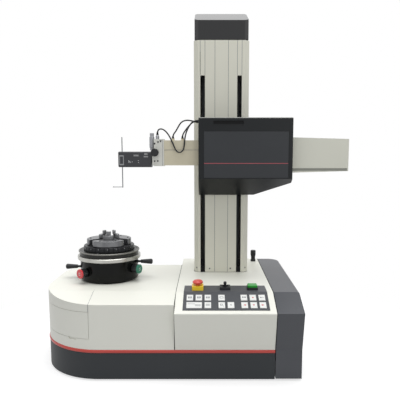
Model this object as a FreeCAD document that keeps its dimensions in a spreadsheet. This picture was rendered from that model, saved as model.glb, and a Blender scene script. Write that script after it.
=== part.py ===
import FreeCAD, Part
import math
import os
import Sketcher
from FreeCAD import Placement, Rotation, Vector

# Roundness tester: a rotary table with a small chuck on the left, a column with a carriage
# and a horizontal measuring arm on the right. Millimetres, +X right, +Y back, +Z up.

doc = FreeCAD.newDocument("RoundnessTester")
sheet = doc.addObject("Spreadsheet::Sheet", "Dims")
rows = []
nodes = []


class Size:
    """A length that knows its number and the sheet expression that gives it."""

    def __init__(self, number, text):
        self.number = float(number)
        self.text = text

    def __add__(self, other):
        return Size(self.number + num(other), "(%s + %s)" % (self.text, txt(other)))

    def __radd__(self, other):
        return Size(num(other) + self.number, "(%s + %s)" % (txt(other), self.text))

    def __sub__(self, other):
        return Size(self.number - num(other), "(%s - %s)" % (self.text, txt(other)))

    def __rsub__(self, other):
        return Size(num(other) - self.number, "(%s - %s)" % (txt(other), self.text))

    def __mul__(self, other):
        return Size(self.number * num(other), "(%s * %s)" % (self.text, txt(other)))

    def __rmul__(self, other):
        return Size(self.number * num(other), "(%s * %s)" % (txt(other), self.text))

    def __truediv__(self, other):
        return Size(self.number / num(other), "(%s / %s)" % (self.text, txt(other)))

    def __neg__(self):
        return Size(-self.number, "(0 - %s)" % self.text)


def num(value):
    return value.number if isinstance(value, Size) else float(value)


def txt(value):
    if isinstance(value, Size):
        return value.text
    return "%.6f" % value if value >= 0 else "(0 - %.6f)" % -value


def size(name, value):
    row = len(rows) + 1
    rows.append(name)
    sheet.set("A%d" % row, name)
    sheet.set("B%d" % row, "%.6g" % value)
    sheet.setAlias("B%d" % row, name)
    return Size(value, "Dims." + name)


def put(obj, prop, value):
    if isinstance(value, Size):
        obj.setExpression(prop, value.text)


def place(obj, x, y, z, turn=None):
    obj.Placement = Placement(Vector(num(x), num(y), num(z)), turn or Rotation())
    for letter, value in (("x", x), ("y", y), ("z", z)):
        put(obj, "Placement.Base." + letter, value)
    return obj


def node(name, obj):
    obj.Label = name
    nodes.append((name, obj))
    return obj


def box(x0, x1, y0, y1, z0, z1):
    solid = doc.addObject("Part::Box", "Block")
    for prop, low, high in (("Length", x0, x1), ("Width", y0, y1), ("Height", z0, z1)):
        setattr(solid, prop, num(high) - num(low))
        if isinstance(low, Size) or isinstance(high, Size):
            put(solid, prop, Size(num(high) - num(low), "(%s - %s)" % (txt(high), txt(low))))
    return place(solid, x0, y0, z0)


def cylinder(radius, x, y, z, length, way="z"):
    solid = doc.addObject("Part::Cylinder", "Round")
    solid.Radius = num(radius)
    put(solid, "Radius", radius)
    solid.Height = num(length)
    put(solid, "Height", length)
    turns = {
        "z": Rotation(),
        "x": Rotation(Vector(0, 1, 0), 90),
        "y": Rotation(Vector(1, 0, 0), -90),
    }
    return place(solid, x, y, z, turns[way])


def cut(base, *tools):
    result = doc.addObject("Part::Cut", "Trimmed")
    result.Base = base
    result.Tool = tools[0] if len(tools) == 1 else join(*tools)
    return result


def join(*parts):
    result = doc.addObject("Part::MultiFuse", "Joined")
    result.Shapes = list(parts)
    result.Refine = True
    return result


def common(first, second):
    result = doc.addObject("Part::Common", "Shared")
    result.Base = first
    result.Tool = second
    return result


def group(*parts):
    result = doc.addObject("Part::Compound", "Set")
    result.Links = list(parts)
    return result


def origin_plane(body, role):
    return [item for item in body.Origin.OriginFeatures if item.Role == role][0]


def sketch(body, plane, loops, level):
    """Closed outlines on an origin plane; every corner is held by its own distances."""
    drawing = body.newObject("Sketcher::SketchObject", "Outline")
    drawing.AttachmentSupport = [(origin_plane(body, plane + "_Plane"), "")]
    drawing.MapMode = "FlatFace"
    drawing.AttachmentOffset = Placement(Vector(0, 0, num(level)), Rotation())
    put(drawing, "AttachmentOffset.Base.z", level)
    for loop in loops:
        first = drawing.GeometryCount
        if loop[0] == "circle":
            middle = Vector(num(loop[1]), num(loop[2]), 0)
            drawing.addGeometry(Part.Circle(middle, Vector(0, 0, 1), num(loop[3])), False)
            fix_point(drawing, first, 3, loop[1], loop[2])
            index = drawing.addConstraint(Sketcher.Constraint("Radius", first, num(loop[3])))
            put(drawing, "Constraints[%d]" % index, loop[3])
            continue
        count = len(loop)
        for k in range(count):
            a = loop[k]
            b = loop[(k + 1) % count]
            start = Vector(num(a[0]), num(a[1]), 0)
            end = Vector(num(b[0]), num(b[1]), 0)
            drawing.addGeometry(Part.LineSegment(start, end), False)
        ties = []
        for k in range(count):
            ties.append(Sketcher.Constraint("Coincident", first + k, 2, first + (k + 1) % count, 1))
        drawing.addConstraint(ties)
        for k in range(count):
            fix_point(drawing, first + k, 1, loop[k][0], loop[k][1])
    return drawing


def fix_point(drawing, item, end, x, y):
    for kind, value, axis in (("DistanceX", x, -2), ("DistanceY", y, -1)):
        if abs(num(value)) < 1e-9:
            drawing.addConstraint(Sketcher.Constraint("PointOnObject", item, end, axis))
        else:
            tie = Sketcher.Constraint(kind, -1, 1, item, end, num(value))
            index = drawing.addConstraint(tie)
            put(drawing, "Constraints[%d]" % index, value)


def span(low, high):
    if isinstance(low, Size) or isinstance(high, Size):
        return Size(num(high) - num(low), "(%s - %s)" % (txt(high), txt(low)))
    return high - low


def solid_of(plane, loops, low, high):
    """A new body: the outline carried from low to high along the plane's world axis."""
    body = doc.addObject("PartDesign::Body", "Form")
    add_to(body, plane, loops, low, high)
    return body


def minus(value):
    return -value


def add_to(body, plane, loops, low, high):
    level = minus(high) if plane == "XZ" else low
    pad = body.newObject("PartDesign::Pad", "Pad")
    pad.Profile = sketch(body, plane, loops, level)
    pad.Length = num(high) - num(low)
    put(pad, "Length", span(low, high))
    body.Tip = pad
    return pad


def take_from(body, plane, loops, low, high):
    level = minus(low) if plane == "XZ" else high
    doc.recompute()
    before = body.Shape.Volume
    pocket = body.newObject("PartDesign::Pocket", "Pocket")
    pocket.Profile = sketch(body, plane, loops, level)
    pocket.Length = num(high) - num(low)
    put(pocket, "Length", span(low, high))
    body.Tip = pocket
    doc.recompute()
    if body.Shape.Volume > before - 0.01:
        print("WARNING: a pocket cuts nothing", plane, num(low), num(high))
    return pocket


def turned(profile, x, y, z, turn=None):
    """A body of revolution about its own Z axis; the profile is radius and height."""
    body = doc.addObject("PartDesign::Body", "Turned")
    lathe = body.newObject("PartDesign::Revolution", "Revolution")
    outline = sketch(body, "XZ", [profile], 0)
    lathe.Profile = outline
    lathe.ReferenceAxis = (outline, ["V_Axis"])
    lathe.Angle = 360
    body.Tip = lathe
    place(body, x, y, z, turn)
    return body


def line_at(x=None, y=None, z=None):
    """Picks the edges whose two ends both lie at the given coordinates."""

    def test(edge):
        ends = [corner.Point for corner in edge.Vertexes]
        if len(ends) < 2:
            return False
        for end in ends:
            for value, have in ((x, end.x), (y, end.y), (z, end.z)):
                if value is not None and abs(num(value) - have) > 0.02:
                    return False
        return True

    return test


def dress(kind, body, amount, tests):
    doc.recompute()
    base = body.Tip
    names = []
    for k, edge in enumerate(base.Shape.Edges):
        if any(test(edge) for test in tests):
            names.append("Edge%d" % (k + 1))
    if not names:
        print("WARNING: no edge found for a", kind, body.Label)
        return None
    feature = body.newObject("PartDesign::" + kind, kind)
    feature.Base = (base, names)
    prop = "Radius" if kind == "Fillet" else "Size"
    setattr(feature, prop, num(amount))
    put(feature, prop, amount)
    body.Tip = feature
    return feature


def rounded(body, radius, *tests):
    return dress("Fillet", body, radius, tests)


def bevelled(body, amount, *tests):
    return dress("Chamfer", body, amount, tests)


# Overall plan of the base
base_left = size("base_left", -378.5)
base_front = size("base_front", -202)
left_back = size("left_back", 153)
console_back = size("console_back", 223.5)
console_left = size("console_left", -54)
console_right = size("console_right", 174)
side_left = size("side_left", 176)
side_right = size("side_right", 236)
end_front_round = size("end_front_round", 150)
end_rear_round = size("end_rear_round", 100)
seat = size("seat_gap", 0.3)
seam = size("cover_seam", 1)

# Heights of the base
floor_gap = size("floor_gap", 4)
bed_bottom = size("bed_bottom", 20)
skirt_top = size("skirt_top", 66)
strip_height = size("strip_height", 7.6)
strip_bulge = size("strip_bulge", 1.5)
strip_round = size("strip_round", 2.6)
strip_width = size("strip_width", 12)
skirt_wall = size("skirt_wall", 3)
cover_wall = size("cover_wall", 4)
left_front_top = size("left_front_top", 179)
left_crease = size("left_crease", -123.5)
left_deck = size("left_deck", 190)
lip_front = size("lip_front", -225)
lip_height = size("lip_height", 166)
console_crease = size("console_crease", -149)
console_deck = size("console_deck", 194)
strip_top = skirt_top + strip_height
cover_bottom = strip_top + seat


def base_outline(inset, right_inset):
    return [
        (base_left + inset, base_front + inset),
        (console_right - right_inset, base_front + inset),
        (console_right - right_inset, console_back - inset),
        (console_left + inset, console_back - inset),
        (console_left + inset, left_back - inset),
        (base_left + inset, left_back - inset),
    ]


def base_form(inset, right_inset, low, high):
    form = solid_of("XY", [base_outline(inset, right_inset)], low, high)
    rounded(form, end_front_round - inset, line_at(x=base_left + inset, y=base_front + inset))
    rounded(form, end_rear_round - inset, line_at(x=base_left + inset, y=left_back - inset))
    return form


none = size("no_inset", 0.0001)

# Machine bed: a cast slab that follows the base, with the pedestal of the column
column_left = size("column_left", -16)
column_right = size("column_right", 130)
column_front = size("column_front", 48.4)
column_back = size("column_back", 175)
column_chamfer = size("column_chamfer", 11)
pedestal_top = size("pedestal_top", 190)
bed_inset = skirt_wall + seat
slab = base_form(bed_inset, bed_inset, bed_bottom, skirt_top)
pedestal = box(column_left + 4, column_right - 4, column_front + 6, column_back - 4, skirt_top, pedestal_top)
foot_spread = size("foot_inset", 70)
foot_radius = size("foot_radius", 24)
foot_stem = size("foot_stem_radius", 8)
foot_clear = size("foot_clearance", 0.3)
foot_depth = size("foot_socket_depth", 22)
foot_places = [
    (base_left + 2 * foot_spread, base_front + foot_spread),
    (console_right - foot_spread / 2, base_front + foot_spread / 2),
    (console_right - foot_spread / 2, console_back - foot_spread / 2),
    (base_left + 2 * foot_spread, left_back - foot_spread),
]
sockets = []
feet = []
for place_x, place_y in foot_places:
    sockets.append(
        cylinder(foot_stem + foot_clear, place_x, place_y, bed_bottom - 1, foot_depth + 1)
    )
    profile = [
        (0, 0),
        (foot_radius, 0),
        (foot_radius, 4),
        (foot_radius * 0.6, 8),
        (foot_stem * 1.5, 8),
        (foot_stem * 1.5, bed_bottom - seat),
        (foot_stem, bed_bottom - seat),
        (foot_stem, bed_bottom + foot_depth - seat),
        (0, bed_bottom + foot_depth - seat),
    ]
    feet.append(turned(profile, place_x, place_y, 0))
node("machine_bed", cut(join(slab, pedestal), *sockets))
node("levelling_feet", group(*feet))

# Skirt: a closed wall round the bed
skirt = base_form(none, none, floor_gap, skirt_top)
skirt_inner = base_form(skirt_wall, skirt_wall, floor_gap - 1, skirt_top + 1)
node("base_skirt", cut(skirt, skirt_inner))

# Trim strip: a rounded rail between the skirt and the covers
strip = base_form(-strip_bulge, none, skirt_top, strip_top)
rounded(
    strip,
    strip_round,
    line_at(y=base_front - strip_bulge, z=strip_top),
)
rounded(strip, strip_round, line_at(y=base_front - strip_bulge, z=skirt_top))
strip_inner = base_form(strip_width, strip_width, skirt_top - 1, strip_top + 1)
node("trim_strip", cut(strip, strip_inner))

# Left cover: rounded plan, sloping front edge, hollow and open below
table_x = size("table_x", -240)
table_y = size("table_y", 5)
deck_hole = size("deck_hole_radius", 67)
cover_edge_round = size("cover_edge_round", 3)


def left_plan(inset, low, high):
    right = console_left - seam
    outline = [
        (base_left + inset, base_front + inset),
        (right - inset, base_front + inset),
        (right - inset, left_back - inset),
        (base_left + inset, left_back - inset),
    ]
    form = solid_of("XY", [outline], low, high)
    rounded(form, end_front_round - inset, line_at(x=base_left + inset, y=base_front + inset))
    rounded(form, end_rear_round - inset, line_at(x=base_left + inset, y=left_back - inset))
    return form


def left_profile(drop, low, high):
    outline = [
        (base_front - 5, low),
        (base_front - 5, left_front_top - drop - 5 * 0.14),
        (left_crease, left_deck - drop),
        (left_back + 5, left_deck - drop),
        (left_back + 5, low),
    ]
    return solid_of("YZ", [outline], base_left - 5, high)


left_outer = common(
    left_plan(none, cover_bottom, left_deck + 10),
    left_profile(none, cover_bottom - 2, console_left + 5),
)
left_inner = common(
    left_plan(cover_wall, cover_bottom - 1, left_deck + 10),
    left_profile(cover_wall, cover_bottom - 2, console_left + 5),
)
door_right = size("door_right", -250)
door_back = size("door_back", -30)
door_bottom = size("door_bottom", 98)
door_top = size("door_top", 162)
door_gap = size("door_gap", 0.8)
door_depth = size("door_recess", 2.6)
door_sheet = size("door_sheet", 2.3)
grip_width = size("grip_width", 19)
grip_height = size("grip_height", 4)
grip_x = size("grip_x", -291)
door_field = box(base_left - 5, door_right, base_front - 5, door_back, door_bottom, door_top)
door_recess = common(
    cut(
        left_plan(-1 * none, door_bottom - 1, door_top + 1),
        left_plan(door_depth, door_bottom - 2, door_top + 2),
    ),
    door_field,
)
grip_cut = box(
    grip_x - grip_width / 2,
    grip_x + grip_width / 2,
    base_front - 5,
    base_front + 22,
    door_bottom - grip_height,
    door_bottom + 1,
)
grip_recess = common(
    cut(
        left_plan(-1 * none, door_bottom - 10, door_top + 1),
        left_plan(door_depth, door_bottom - 12, door_top + 2),
    ),
    grip_cut,
)
seam_groove = box(
    door_right - 0.4, door_right + 0.4, base_front - 5, base_front + 0.8, door_top, left_front_top - 1
)
table_hole = cylinder(deck_hole, table_x, table_y, left_deck - cover_wall - 2, cover_wall + 5)
left_shell = cut(left_outer, left_inner)
node("left_cover", cut(left_shell, door_recess, grip_recess, seam_groove, table_hole))
door_skin = common(
    cut(
        left_plan(none, door_bottom - 1, door_top + 1),
        left_plan(door_sheet, door_bottom - 2, door_top + 2),
    ),
    box(
        base_left - 5,
        door_right - door_gap,
        base_front - 5,
        door_back - door_gap,
        door_bottom + door_gap,
        door_top - door_gap,
    ),
)
node("service_door", door_skin)

# Console cover: the front leans out to a lip, the key field slopes up to the deck
console_wall = size("console_wall", 3)
opening_gap = size("column_opening_gap", 1)


def console_profile(wall, low):
    return [
        (base_front + wall, low),
        (lip_front + wall * 1.15, lip_height - wall * 0.25),
        (console_crease + wall * 0.3, console_deck - wall),
        (console_back - wall, console_deck - wall),
        (console_back - wall, low),
    ]


console = solid_of("YZ", [console_profile(none, cover_bottom)], console_left, console_right)
rounded(console, cover_edge_round, line_at(y=lip_front + none * 1.15))
take_from(
    console,
    "YZ",
    [console_profile(console_wall, cover_bottom - 2)],
    console_left + console_wall,
    console_right - console_wall,
)
take_from(
    console,
    "XY",
    [
        [
            (column_left - opening_gap, column_front - opening_gap),
            (column_right + opening_gap, column_front - opening_gap),
            (column_right + opening_gap, column_back + opening_gap),
            (column_left - opening_gap, column_back + opening_gap),
        ]
    ],
    console_deck - console_wall - 1,
    console_deck + 1,
)
rear_left = size("rear_panel_left", -34)
rear_right = size("rear_panel_right", 154)
rear_low = size("rear_panel_bottom", 86)
rear_high = size("rear_panel_top", 178)
rear_sheet = size("rear_panel_sheet", 2)
take_from(
    console,
    "XZ",
    [[(rear_left, rear_low), (rear_right, rear_low), (rear_right, rear_high), (rear_left, rear_high)]],
    console_back - console_wall - 1,
    console_back + 1,
)
node("console_cover", console)

# Rear panel with a row of vent slots, mains inlet and data connector
rear = solid_of(
    "XZ",
    [
        [
            (rear_left + seat, rear_low + seat),
            (rear_right - seat, rear_low + seat),
            (rear_right - seat, rear_high - seat),
            (rear_left + seat, rear_high - seat),
        ]
    ],
    console_back - console_wall,
    console_back - console_wall + rear_sheet,
)
inlet_x = size("inlet_x", -5)
inlet_z = size("inlet_z", 108)
inlet_half_width = size("inlet_half_width", 14)
inlet_half_height = size("inlet_half_height", 12)
data_x = size("data_x", 60)
data_half_width = size("data_half_width", 15)
data_half_height = size("data_half_height", 6)


def rectangle(x, z, half_x, half_z):
    return [
        (x - half_x, z - half_z),
        (x + half_x, z - half_z),
        (x + half_x, z + half_z),
        (x - half_x, z + half_z),
    ]


for hole in (
    rectangle(inlet_x, inlet_z, inlet_half_width, inlet_half_height),
    rectangle(data_x, inlet_z, data_half_width, data_half_height),
):
    take_from(rear, "XZ", [hole], console_back - console_wall - 1, console_back + 1)
vent_pitch = size("vent_pitch", 9)
vent = take_from(
    rear,
    "XZ",
    [rectangle(rear_left + 18, rear_high - 26, vent_pitch / 6, 14)],
    console_back - console_wall - 1,
    console_back + 1,
)
vents = rear.newObject("PartDesign::LinearPattern", "Vents")
vents.Originals = [vent]
vents.Direction = (origin_plane(rear, "X_Axis"), [""])
vents.Occurrences = 17
vents.Length = num(vent_pitch) * 16
put(vents, "Length", vent_pitch * 16)
rear.Tip = vents
node("rear_panel", rear)
inlet_clear = size("inlet_clearance", 0.2)
inlet_depth = size("inlet_depth", 18)
inlet_wall = size("inlet_wall", 2.5)
inlet = solid_of(
    "XZ",
    [
        rectangle(
            inlet_x, inlet_z, inlet_half_width - inlet_clear, inlet_half_height - inlet_clear
        )
    ],
    console_back - inlet_depth,
    console_back,
)
take_from(
    inlet,
    "XZ",
    [rectangle(inlet_x, inlet_z, inlet_half_width - inlet_wall, inlet_half_height - inlet_wall)],
    console_back - inlet_depth + inlet_wall,
    console_back + 1,
)
data = solid_of(
    "XZ",
    [rectangle(data_x, inlet_z, data_half_width - inlet_clear, data_half_height - inlet_clear)],
    console_back - console_wall - 5,
    console_back - 0.2,
)
node("rear_sockets", group(inlet, data))

# Side cover: the dark end piece, the same profile carried down to the floor
side_bottom = size("side_bottom", 5)
side_wall = size("side_wall", 4)
side_web = size("side_web", 2.5)
side_round = size("side_plan_round", 32)


def side_profile(wall, low):
    return [(base_front + wall, low)] + [(base_front + wall, cover_bottom)] + console_profile(wall, low)[1:]


side = solid_of("YZ", [side_profile(none, side_bottom)], side_left, side_right)
rounded(side, side_round, line_at(x=side_right, y=console_back - none))
rounded(side, cover_edge_round, line_at(x=side_right, z=console_deck - none))
side_inner = solid_of(
    "YZ", [side_profile(side_wall, side_bottom - 2)], side_left + side_web, side_right - side_wall
)
rounded(
    side_inner,
    side_round - side_wall,
    line_at(x=side_right - side_wall, y=console_back - side_wall),
)
tab_reach = size("side_tab_reach", 8)
tab_length = size("side_tab_length", 40)
tabs = [
    box(
        console_right + seat,
        side_left + tab_reach,
        tab_y,
        tab_y + tab_length,
        console_deck - side_wall - 5,
        console_deck - side_wall + 1,
    )
    for tab_y in (console_crease + tab_length * 2, console_back - tab_length * 3)
]
tabs.append(
    box(
        console_right + seat,
        side_left + tab_reach,
        base_front + side_wall - 1,
        base_front + side_wall + 5,
        skirt_top - tab_length,
        skirt_top - tab_length / 2,
    )
)
node("side_cover", join(cut(side, side_inner), *tabs))

# Key panel: a thin bent plate from the slope over the crease onto the deck
panel_left = size("panel_left", -36)
panel_right = size("panel_right", 160)
panel_front = size("panel_front", -214)
panel_back = size("panel_back", -96)
panel_sheet = size("panel_sheet", 1.2)
slope_rate = (console_deck - lip_height) / (console_crease - lip_front)
panel_low = lip_height + (panel_front - lip_front) * slope_rate
panel_top = console_deck + panel_sheet
panel_outline = [
    (panel_front, panel_low + none * 2),
    (console_crease, console_deck + none * 2),
    (panel_back, console_deck + none * 2),
    (panel_back, panel_top),
    (console_crease - panel_sheet * 0.18, panel_top),
    (panel_front - panel_sheet * 0.34, panel_low + panel_sheet * 0.94),
]
node("key_panel", solid_of("YZ", [panel_outline], panel_left, panel_right))

# Keys: two rows of raised keys on the slope
key_width = size("key_width", 14.7)
key_wide = size("key_wide_width", 35)
key_depth = size("key_depth", 21)
key_rise = size("key_rise", 1.6)
key_lower = size("key_lower_row", -198.9)
key_upper = size("key_upper_row", -172.9)
key_pitch = size("key_pitch", 20.7)
slope_angle = math.degrees(math.atan2(num(console_deck - lip_height), num(console_crease - lip_front)))
slope_text = "atan2(%s; %s)" % (txt(console_deck - lip_height), txt(console_crease - lip_front))


def key(middle, row, width):
    """A raised key: an upright block cut to the slope by standing on it."""
    block = doc.addObject("Part::Box", "Key")
    block.Length = num(width)
    put(block, "Length", width)
    block.Width = num(key_depth)
    put(block, "Width", key_depth)
    block.Height = num(key_rise)
    put(block, "Height", key_rise)
    front = row - key_depth * 0.47
    level = lip_height + (front - lip_front) * slope_rate + panel_sheet * 1.08
    place(block, middle - width / 2, front, level, Rotation(Vector(1, 0, 0), slope_angle))
    block.setExpression("Placement.Rotation.Angle", slope_text)
    return block


group_a = size("key_group_a", 0)
group_b = size("key_group_b", 52.2)
group_c = size("key_group_c", 124.6)
keys = [
    key(group_a - key_pitch, key_upper, key_width),
    key(group_a, key_upper, key_width),
    key(group_a + key_pitch, key_upper, key_width),
    key(group_b, key_upper, key_width),
    key(group_c - key_pitch, key_upper, key_width),
    key(group_c, key_upper, key_width),
    key(group_c + key_pitch, key_upper, key_width),
    key(group_a - key_pitch / 2, key_lower, key_wide),
    key(group_a + key_pitch, key_lower, key_width),
    key(group_b, key_lower, key_width),
    key(group_b + key_pitch, key_lower, key_width),
    key(group_c - key_pitch, key_lower, key_width),
    key(group_c, key_lower, key_width),
    key(group_c + key_pitch, key_lower, key_width),
]
node("keys", group(*keys))

# Stop button: square block and mushroom head
stop_x = size("stop_x", -3.4)
stop_y = size("stop_y", -127.7)
stop_half = size("stop_half", 13.6)
stop_height = size("stop_block_height", 9.8)
stop_stem = size("stop_stem_radius", 5)
stop_head = size("stop_head_radius", 12.6)
stop_rise = size("stop_rise", 4.3)
stop_thick = size("stop_head_height", 8)
button_clear = size("button_clearance", 0.3)
stop_push = size("stop_push", 4)
panel_seat = panel_top
stop_top = panel_seat + stop_height


def block_on_panel(x, y, half, low, high, corner):
    body = solid_of("XY", [rectangle(x, y, half, half)], low, high)
    rounded(
        body,
        corner,
        line_at(x=x - half, y=y - half),
        line_at(x=x + half, y=y - half),
        line_at(x=x - half, y=y + half),
        line_at(x=x + half, y=y + half),
    )
    return body


block_round = size("block_round", 2.5)
stop_block = block_on_panel(stop_x, stop_y, stop_half, panel_seat, stop_top, block_round)
take_from(
    stop_block,
    "XY",
    [("circle", stop_x, stop_y, stop_stem + button_clear)],
    stop_top - stop_push - 3,
    stop_top + 1,
)
node("estop_base", stop_block)
node(
    "estop_button",
    turned(
        [
            (0, stop_top - 2.5),
            (stop_stem, stop_top - 2.5),
            (stop_stem, stop_top + stop_rise),
            (stop_head * 0.85, stop_top + stop_rise),
            (stop_head, stop_top + stop_rise + stop_thick * 0.25),
            (stop_head, stop_top + stop_rise + stop_thick * 0.55),
            (stop_head * 0.8, stop_top + stop_rise + stop_thick * 0.9),
            (stop_head * 0.55, stop_top + stop_rise + stop_thick),
            (0, stop_top + stop_rise + stop_thick),
        ],
        stop_x,
        stop_y,
        0,
    ),
)

# Joystick: block with a round well, gimbal ring with trunnions, lever with its own pin
stick_x = size("stick_x", 62)
stick_y = size("stick_y", -125)
stick_half = size("stick_half", 12.4)
stick_height = size("stick_block_height", 7)
stick_well = size("stick_well_radius", 8.4)
stick_floor = size("stick_well_floor", 0.8)
gimbal_outer = size("gimbal_outer_radius", 7.4)
gimbal_inner = size("gimbal_inner_radius", 4.8)
gimbal_thick = size("gimbal_thickness", 2)
pin_radius = size("pin_radius", 0.8)
pin_clear = size("pin_clearance", 0.1)
stick_lift = size("stick_pivot_height", 4)
stick_pivot = panel_seat + stick_lift
stick_block = block_on_panel(stick_x, stick_y, stick_half, panel_seat, panel_seat + stick_height, block_round)
take_from(
    stick_block,
    "XY",
    [("circle", stick_x, stick_y, stick_well)],
    panel_seat + stick_floor,
    panel_seat + stick_height + 1,
)
trunnion = stick_well + 2
stick_base = cut(
    stick_block,
    cylinder(pin_radius + pin_clear, stick_x - trunnion - seat, stick_y, stick_pivot, 2 * trunnion + 2 * seat, "x"),
)
gimbal_ring = solid_of(
    "XY",
    [("circle", stick_x, stick_y, gimbal_outer), ("circle", stick_x, stick_y, gimbal_inner)],
    stick_pivot - gimbal_thick / 2,
    stick_pivot + gimbal_thick / 2,
)
gimbal_pins = cut(
    cylinder(pin_radius, stick_x - trunnion, stick_y, stick_pivot, 2 * trunnion, "x"),
    cylinder(gimbal_inner + 0.5, stick_x, stick_y, stick_pivot - 3, 6),
)
node(
    "joystick_gimbal",
    cut(
        join(gimbal_ring, gimbal_pins),
        cylinder(pin_radius + pin_clear, stick_x, stick_y - gimbal_outer - 1, stick_pivot, 2 * gimbal_outer + 2, "y"),
    ),
)
stick_radius = size("stick_radius", 2)
stick_knob = size("stick_knob_radius", 4)
stick_length = size("stick_length", 14)
lever = turned(
    [
        (0, -2),
        (stick_radius, -2),
        (stick_radius, stick_length - stick_knob * 2),
        (stick_knob * 0.7, stick_length - stick_knob * 1.9),
        (stick_knob, stick_length - stick_knob * 1.2),
        (stick_knob * 0.9, stick_length - stick_knob * 0.3),
        (stick_knob * 0.5, stick_length),
        (0, stick_length),
    ],
    stick_x,
    stick_y,
    stick_pivot,
)
lever_pin = cylinder(pin_radius, stick_x, stick_y - gimbal_outer + 0.6, stick_pivot, 2 * gimbal_outer - 1.2, "y")
node("joystick_lever", join(lever, lever_pin))

# Start button: low square bezel and a square cap that slides in its well
start_x = size("start_x", 127.5)
start_y = size("start_y", -125)
start_half = size("start_half", 12.8)
start_height = size("start_block_height", 5.6)
start_cap_half = size("start_cap_half", 11.5)
start_floor = size("start_well_floor", 0.8)
start_rise = size("start_rise", 5.4)
start_push = size("start_push", 2.5)
start_crown = size("start_crown", 1.6)
start_top = panel_seat + start_height
start_block = block_on_panel(start_x, start_y, start_half, panel_seat, start_top, block_round)
start_well = block_on_panel(
    start_x,
    start_y,
    start_cap_half + button_clear,
    panel_seat + start_floor,
    start_top + 1,
    block_round + button_clear,
)
node("control_bases", group(stick_base, cut(start_block, start_well)))
start_cap = block_on_panel(
    start_x,
    start_y,
    start_cap_half,
    panel_seat + start_floor + start_push + seat,
    start_top + start_rise,
    block_round,
)
bevelled(start_cap, start_crown, line_at(z=start_top + start_rise))
node("start_button", start_cap)

# Small knob behind the console field
knob_x = size("small_knob_x", 158.5)
knob_y = size("small_knob_y", 188)
knob_radius = size("small_knob_radius", 7.8)
knob_height = size("small_knob_height", 33.5)
knob_spigot = size("small_knob_spigot", 3)
knob_hole = cylinder(knob_spigot + pin_clear, knob_x, knob_y, console_deck - console_wall - 1, console_wall + 3)
node(
    "column_knob",
    turned(
        [
            (0, -2.5),
            (knob_spigot, -2.5),
            (knob_spigot, seat),
            (knob_radius * 0.95, seat),
            (knob_radius * 0.95, knob_height * 0.15),
            (knob_radius * 0.8, knob_height * 0.22),
            (knob_radius * 0.8, knob_height * 0.42),
            (knob_radius * 0.9, knob_height * 0.46),
            (knob_radius * 0.9, knob_height * 0.56),
            (knob_radius, knob_height * 0.6),
            (knob_radius, knob_height * 0.95),
            (knob_radius * 0.85, knob_height),
            (0, knob_height),
        ],
        knob_x,
        knob_y,
        console_deck,
    ),
)
nodes[:] = [pair for pair in nodes if pair[0] != "console_cover"]
console.Label = "Form"
node("console_cover", cut(console, knob_hole))

# Spindle: fixed housing with two bearings, turning shaft with its flange
spindle_outer = size("spindle_outer_radius", 55)
spindle_bore = size("spindle_bore_radius", 40)
shaft_radius = size("shaft_radius", 30)
shaft_fit = size("shaft_fit", 0.05)
bearing_height = size("bearing_height", 20)
table_foot = size("table_foot", 191.5)
housing_top = left_deck - cover_wall
node(
    "spindle_housing",
    turned(
        [
            (spindle_bore, skirt_top + 14),
            (spindle_bore, housing_top),
            (spindle_outer, housing_top),
            (spindle_outer, skirt_top + 14),
            (spindle_outer + 11, skirt_top + 10),
            (spindle_outer + 11, skirt_top),
            (0, skirt_top),
            (0, skirt_top + 10),
            (spindle_bore - 8, skirt_top + 10),
        ],
        table_x,
        table_y,
        0,
    ),
)


def bearing(low):
    return turned(
        [
            (shaft_radius + shaft_fit, low),
            (spindle_bore - shaft_fit * 2, low),
            (spindle_bore - shaft_fit * 2, low + bearing_height),
            (shaft_radius + shaft_fit, low + bearing_height),
        ],
        table_x,
        table_y,
        0,
    )


node(
    "spindle_bearings",
    group(bearing(skirt_top + 26), bearing(housing_top - bearing_height - 6)),
)
node(
    "spindle_shaft",
    turned(
        [
            (0, skirt_top + 20),
            (shaft_radius, skirt_top + 20),
            (shaft_radius, housing_top + 1.5),
            (deck_hole - 6, housing_top + 1.5),
            (deck_hole - 6, table_foot),
            (0, table_foot),
        ],
        table_x,
        table_y,
        0,
    ),
)

# Centring housing with four radial bores, bright ring, grooved plate
housing_radius = size("housing_radius", 75.1)
housing_height = size("housing_height", 53.5)
ring_radius = size("ring_radius", 81.5)
ring_height = size("ring_height", 10)
plate_radius = size("plate_radius", 79)
plate_height = size("plate_height", 13)
groove_depth = size("groove_depth", 3)
recess_radius = size("recess_radius", 66)
recess_depth = size("recess_depth", 10)
ring_low = table_foot + housing_height
plate_low = ring_low + ring_height
plate_top = plate_low + plate_height
recess_low = plate_top - recess_depth
bore_radius = size("radial_bore_radius", 4)
bore_start = size("radial_bore_start", 60)


def radial(angle):
    return Rotation(Vector(0, 0, 1), angle).multiply(Rotation(Vector(0, 1, 0), 90))


def radial_bore(angle, level, radius):
    solid = doc.addObject("Part::Cylinder", "Bore")
    solid.Radius = num(radius)
    put(solid, "Radius", radius)
    solid.Height = num(housing_radius - bore_start + 3)
    put(solid, "Height", housing_radius - bore_start + 3)
    way = Vector(math.cos(math.radians(angle)), math.sin(math.radians(angle)), 0)
    place(solid, table_x + bore_start * way.x, table_y + bore_start * way.y, level, radial(angle))
    return solid


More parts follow.
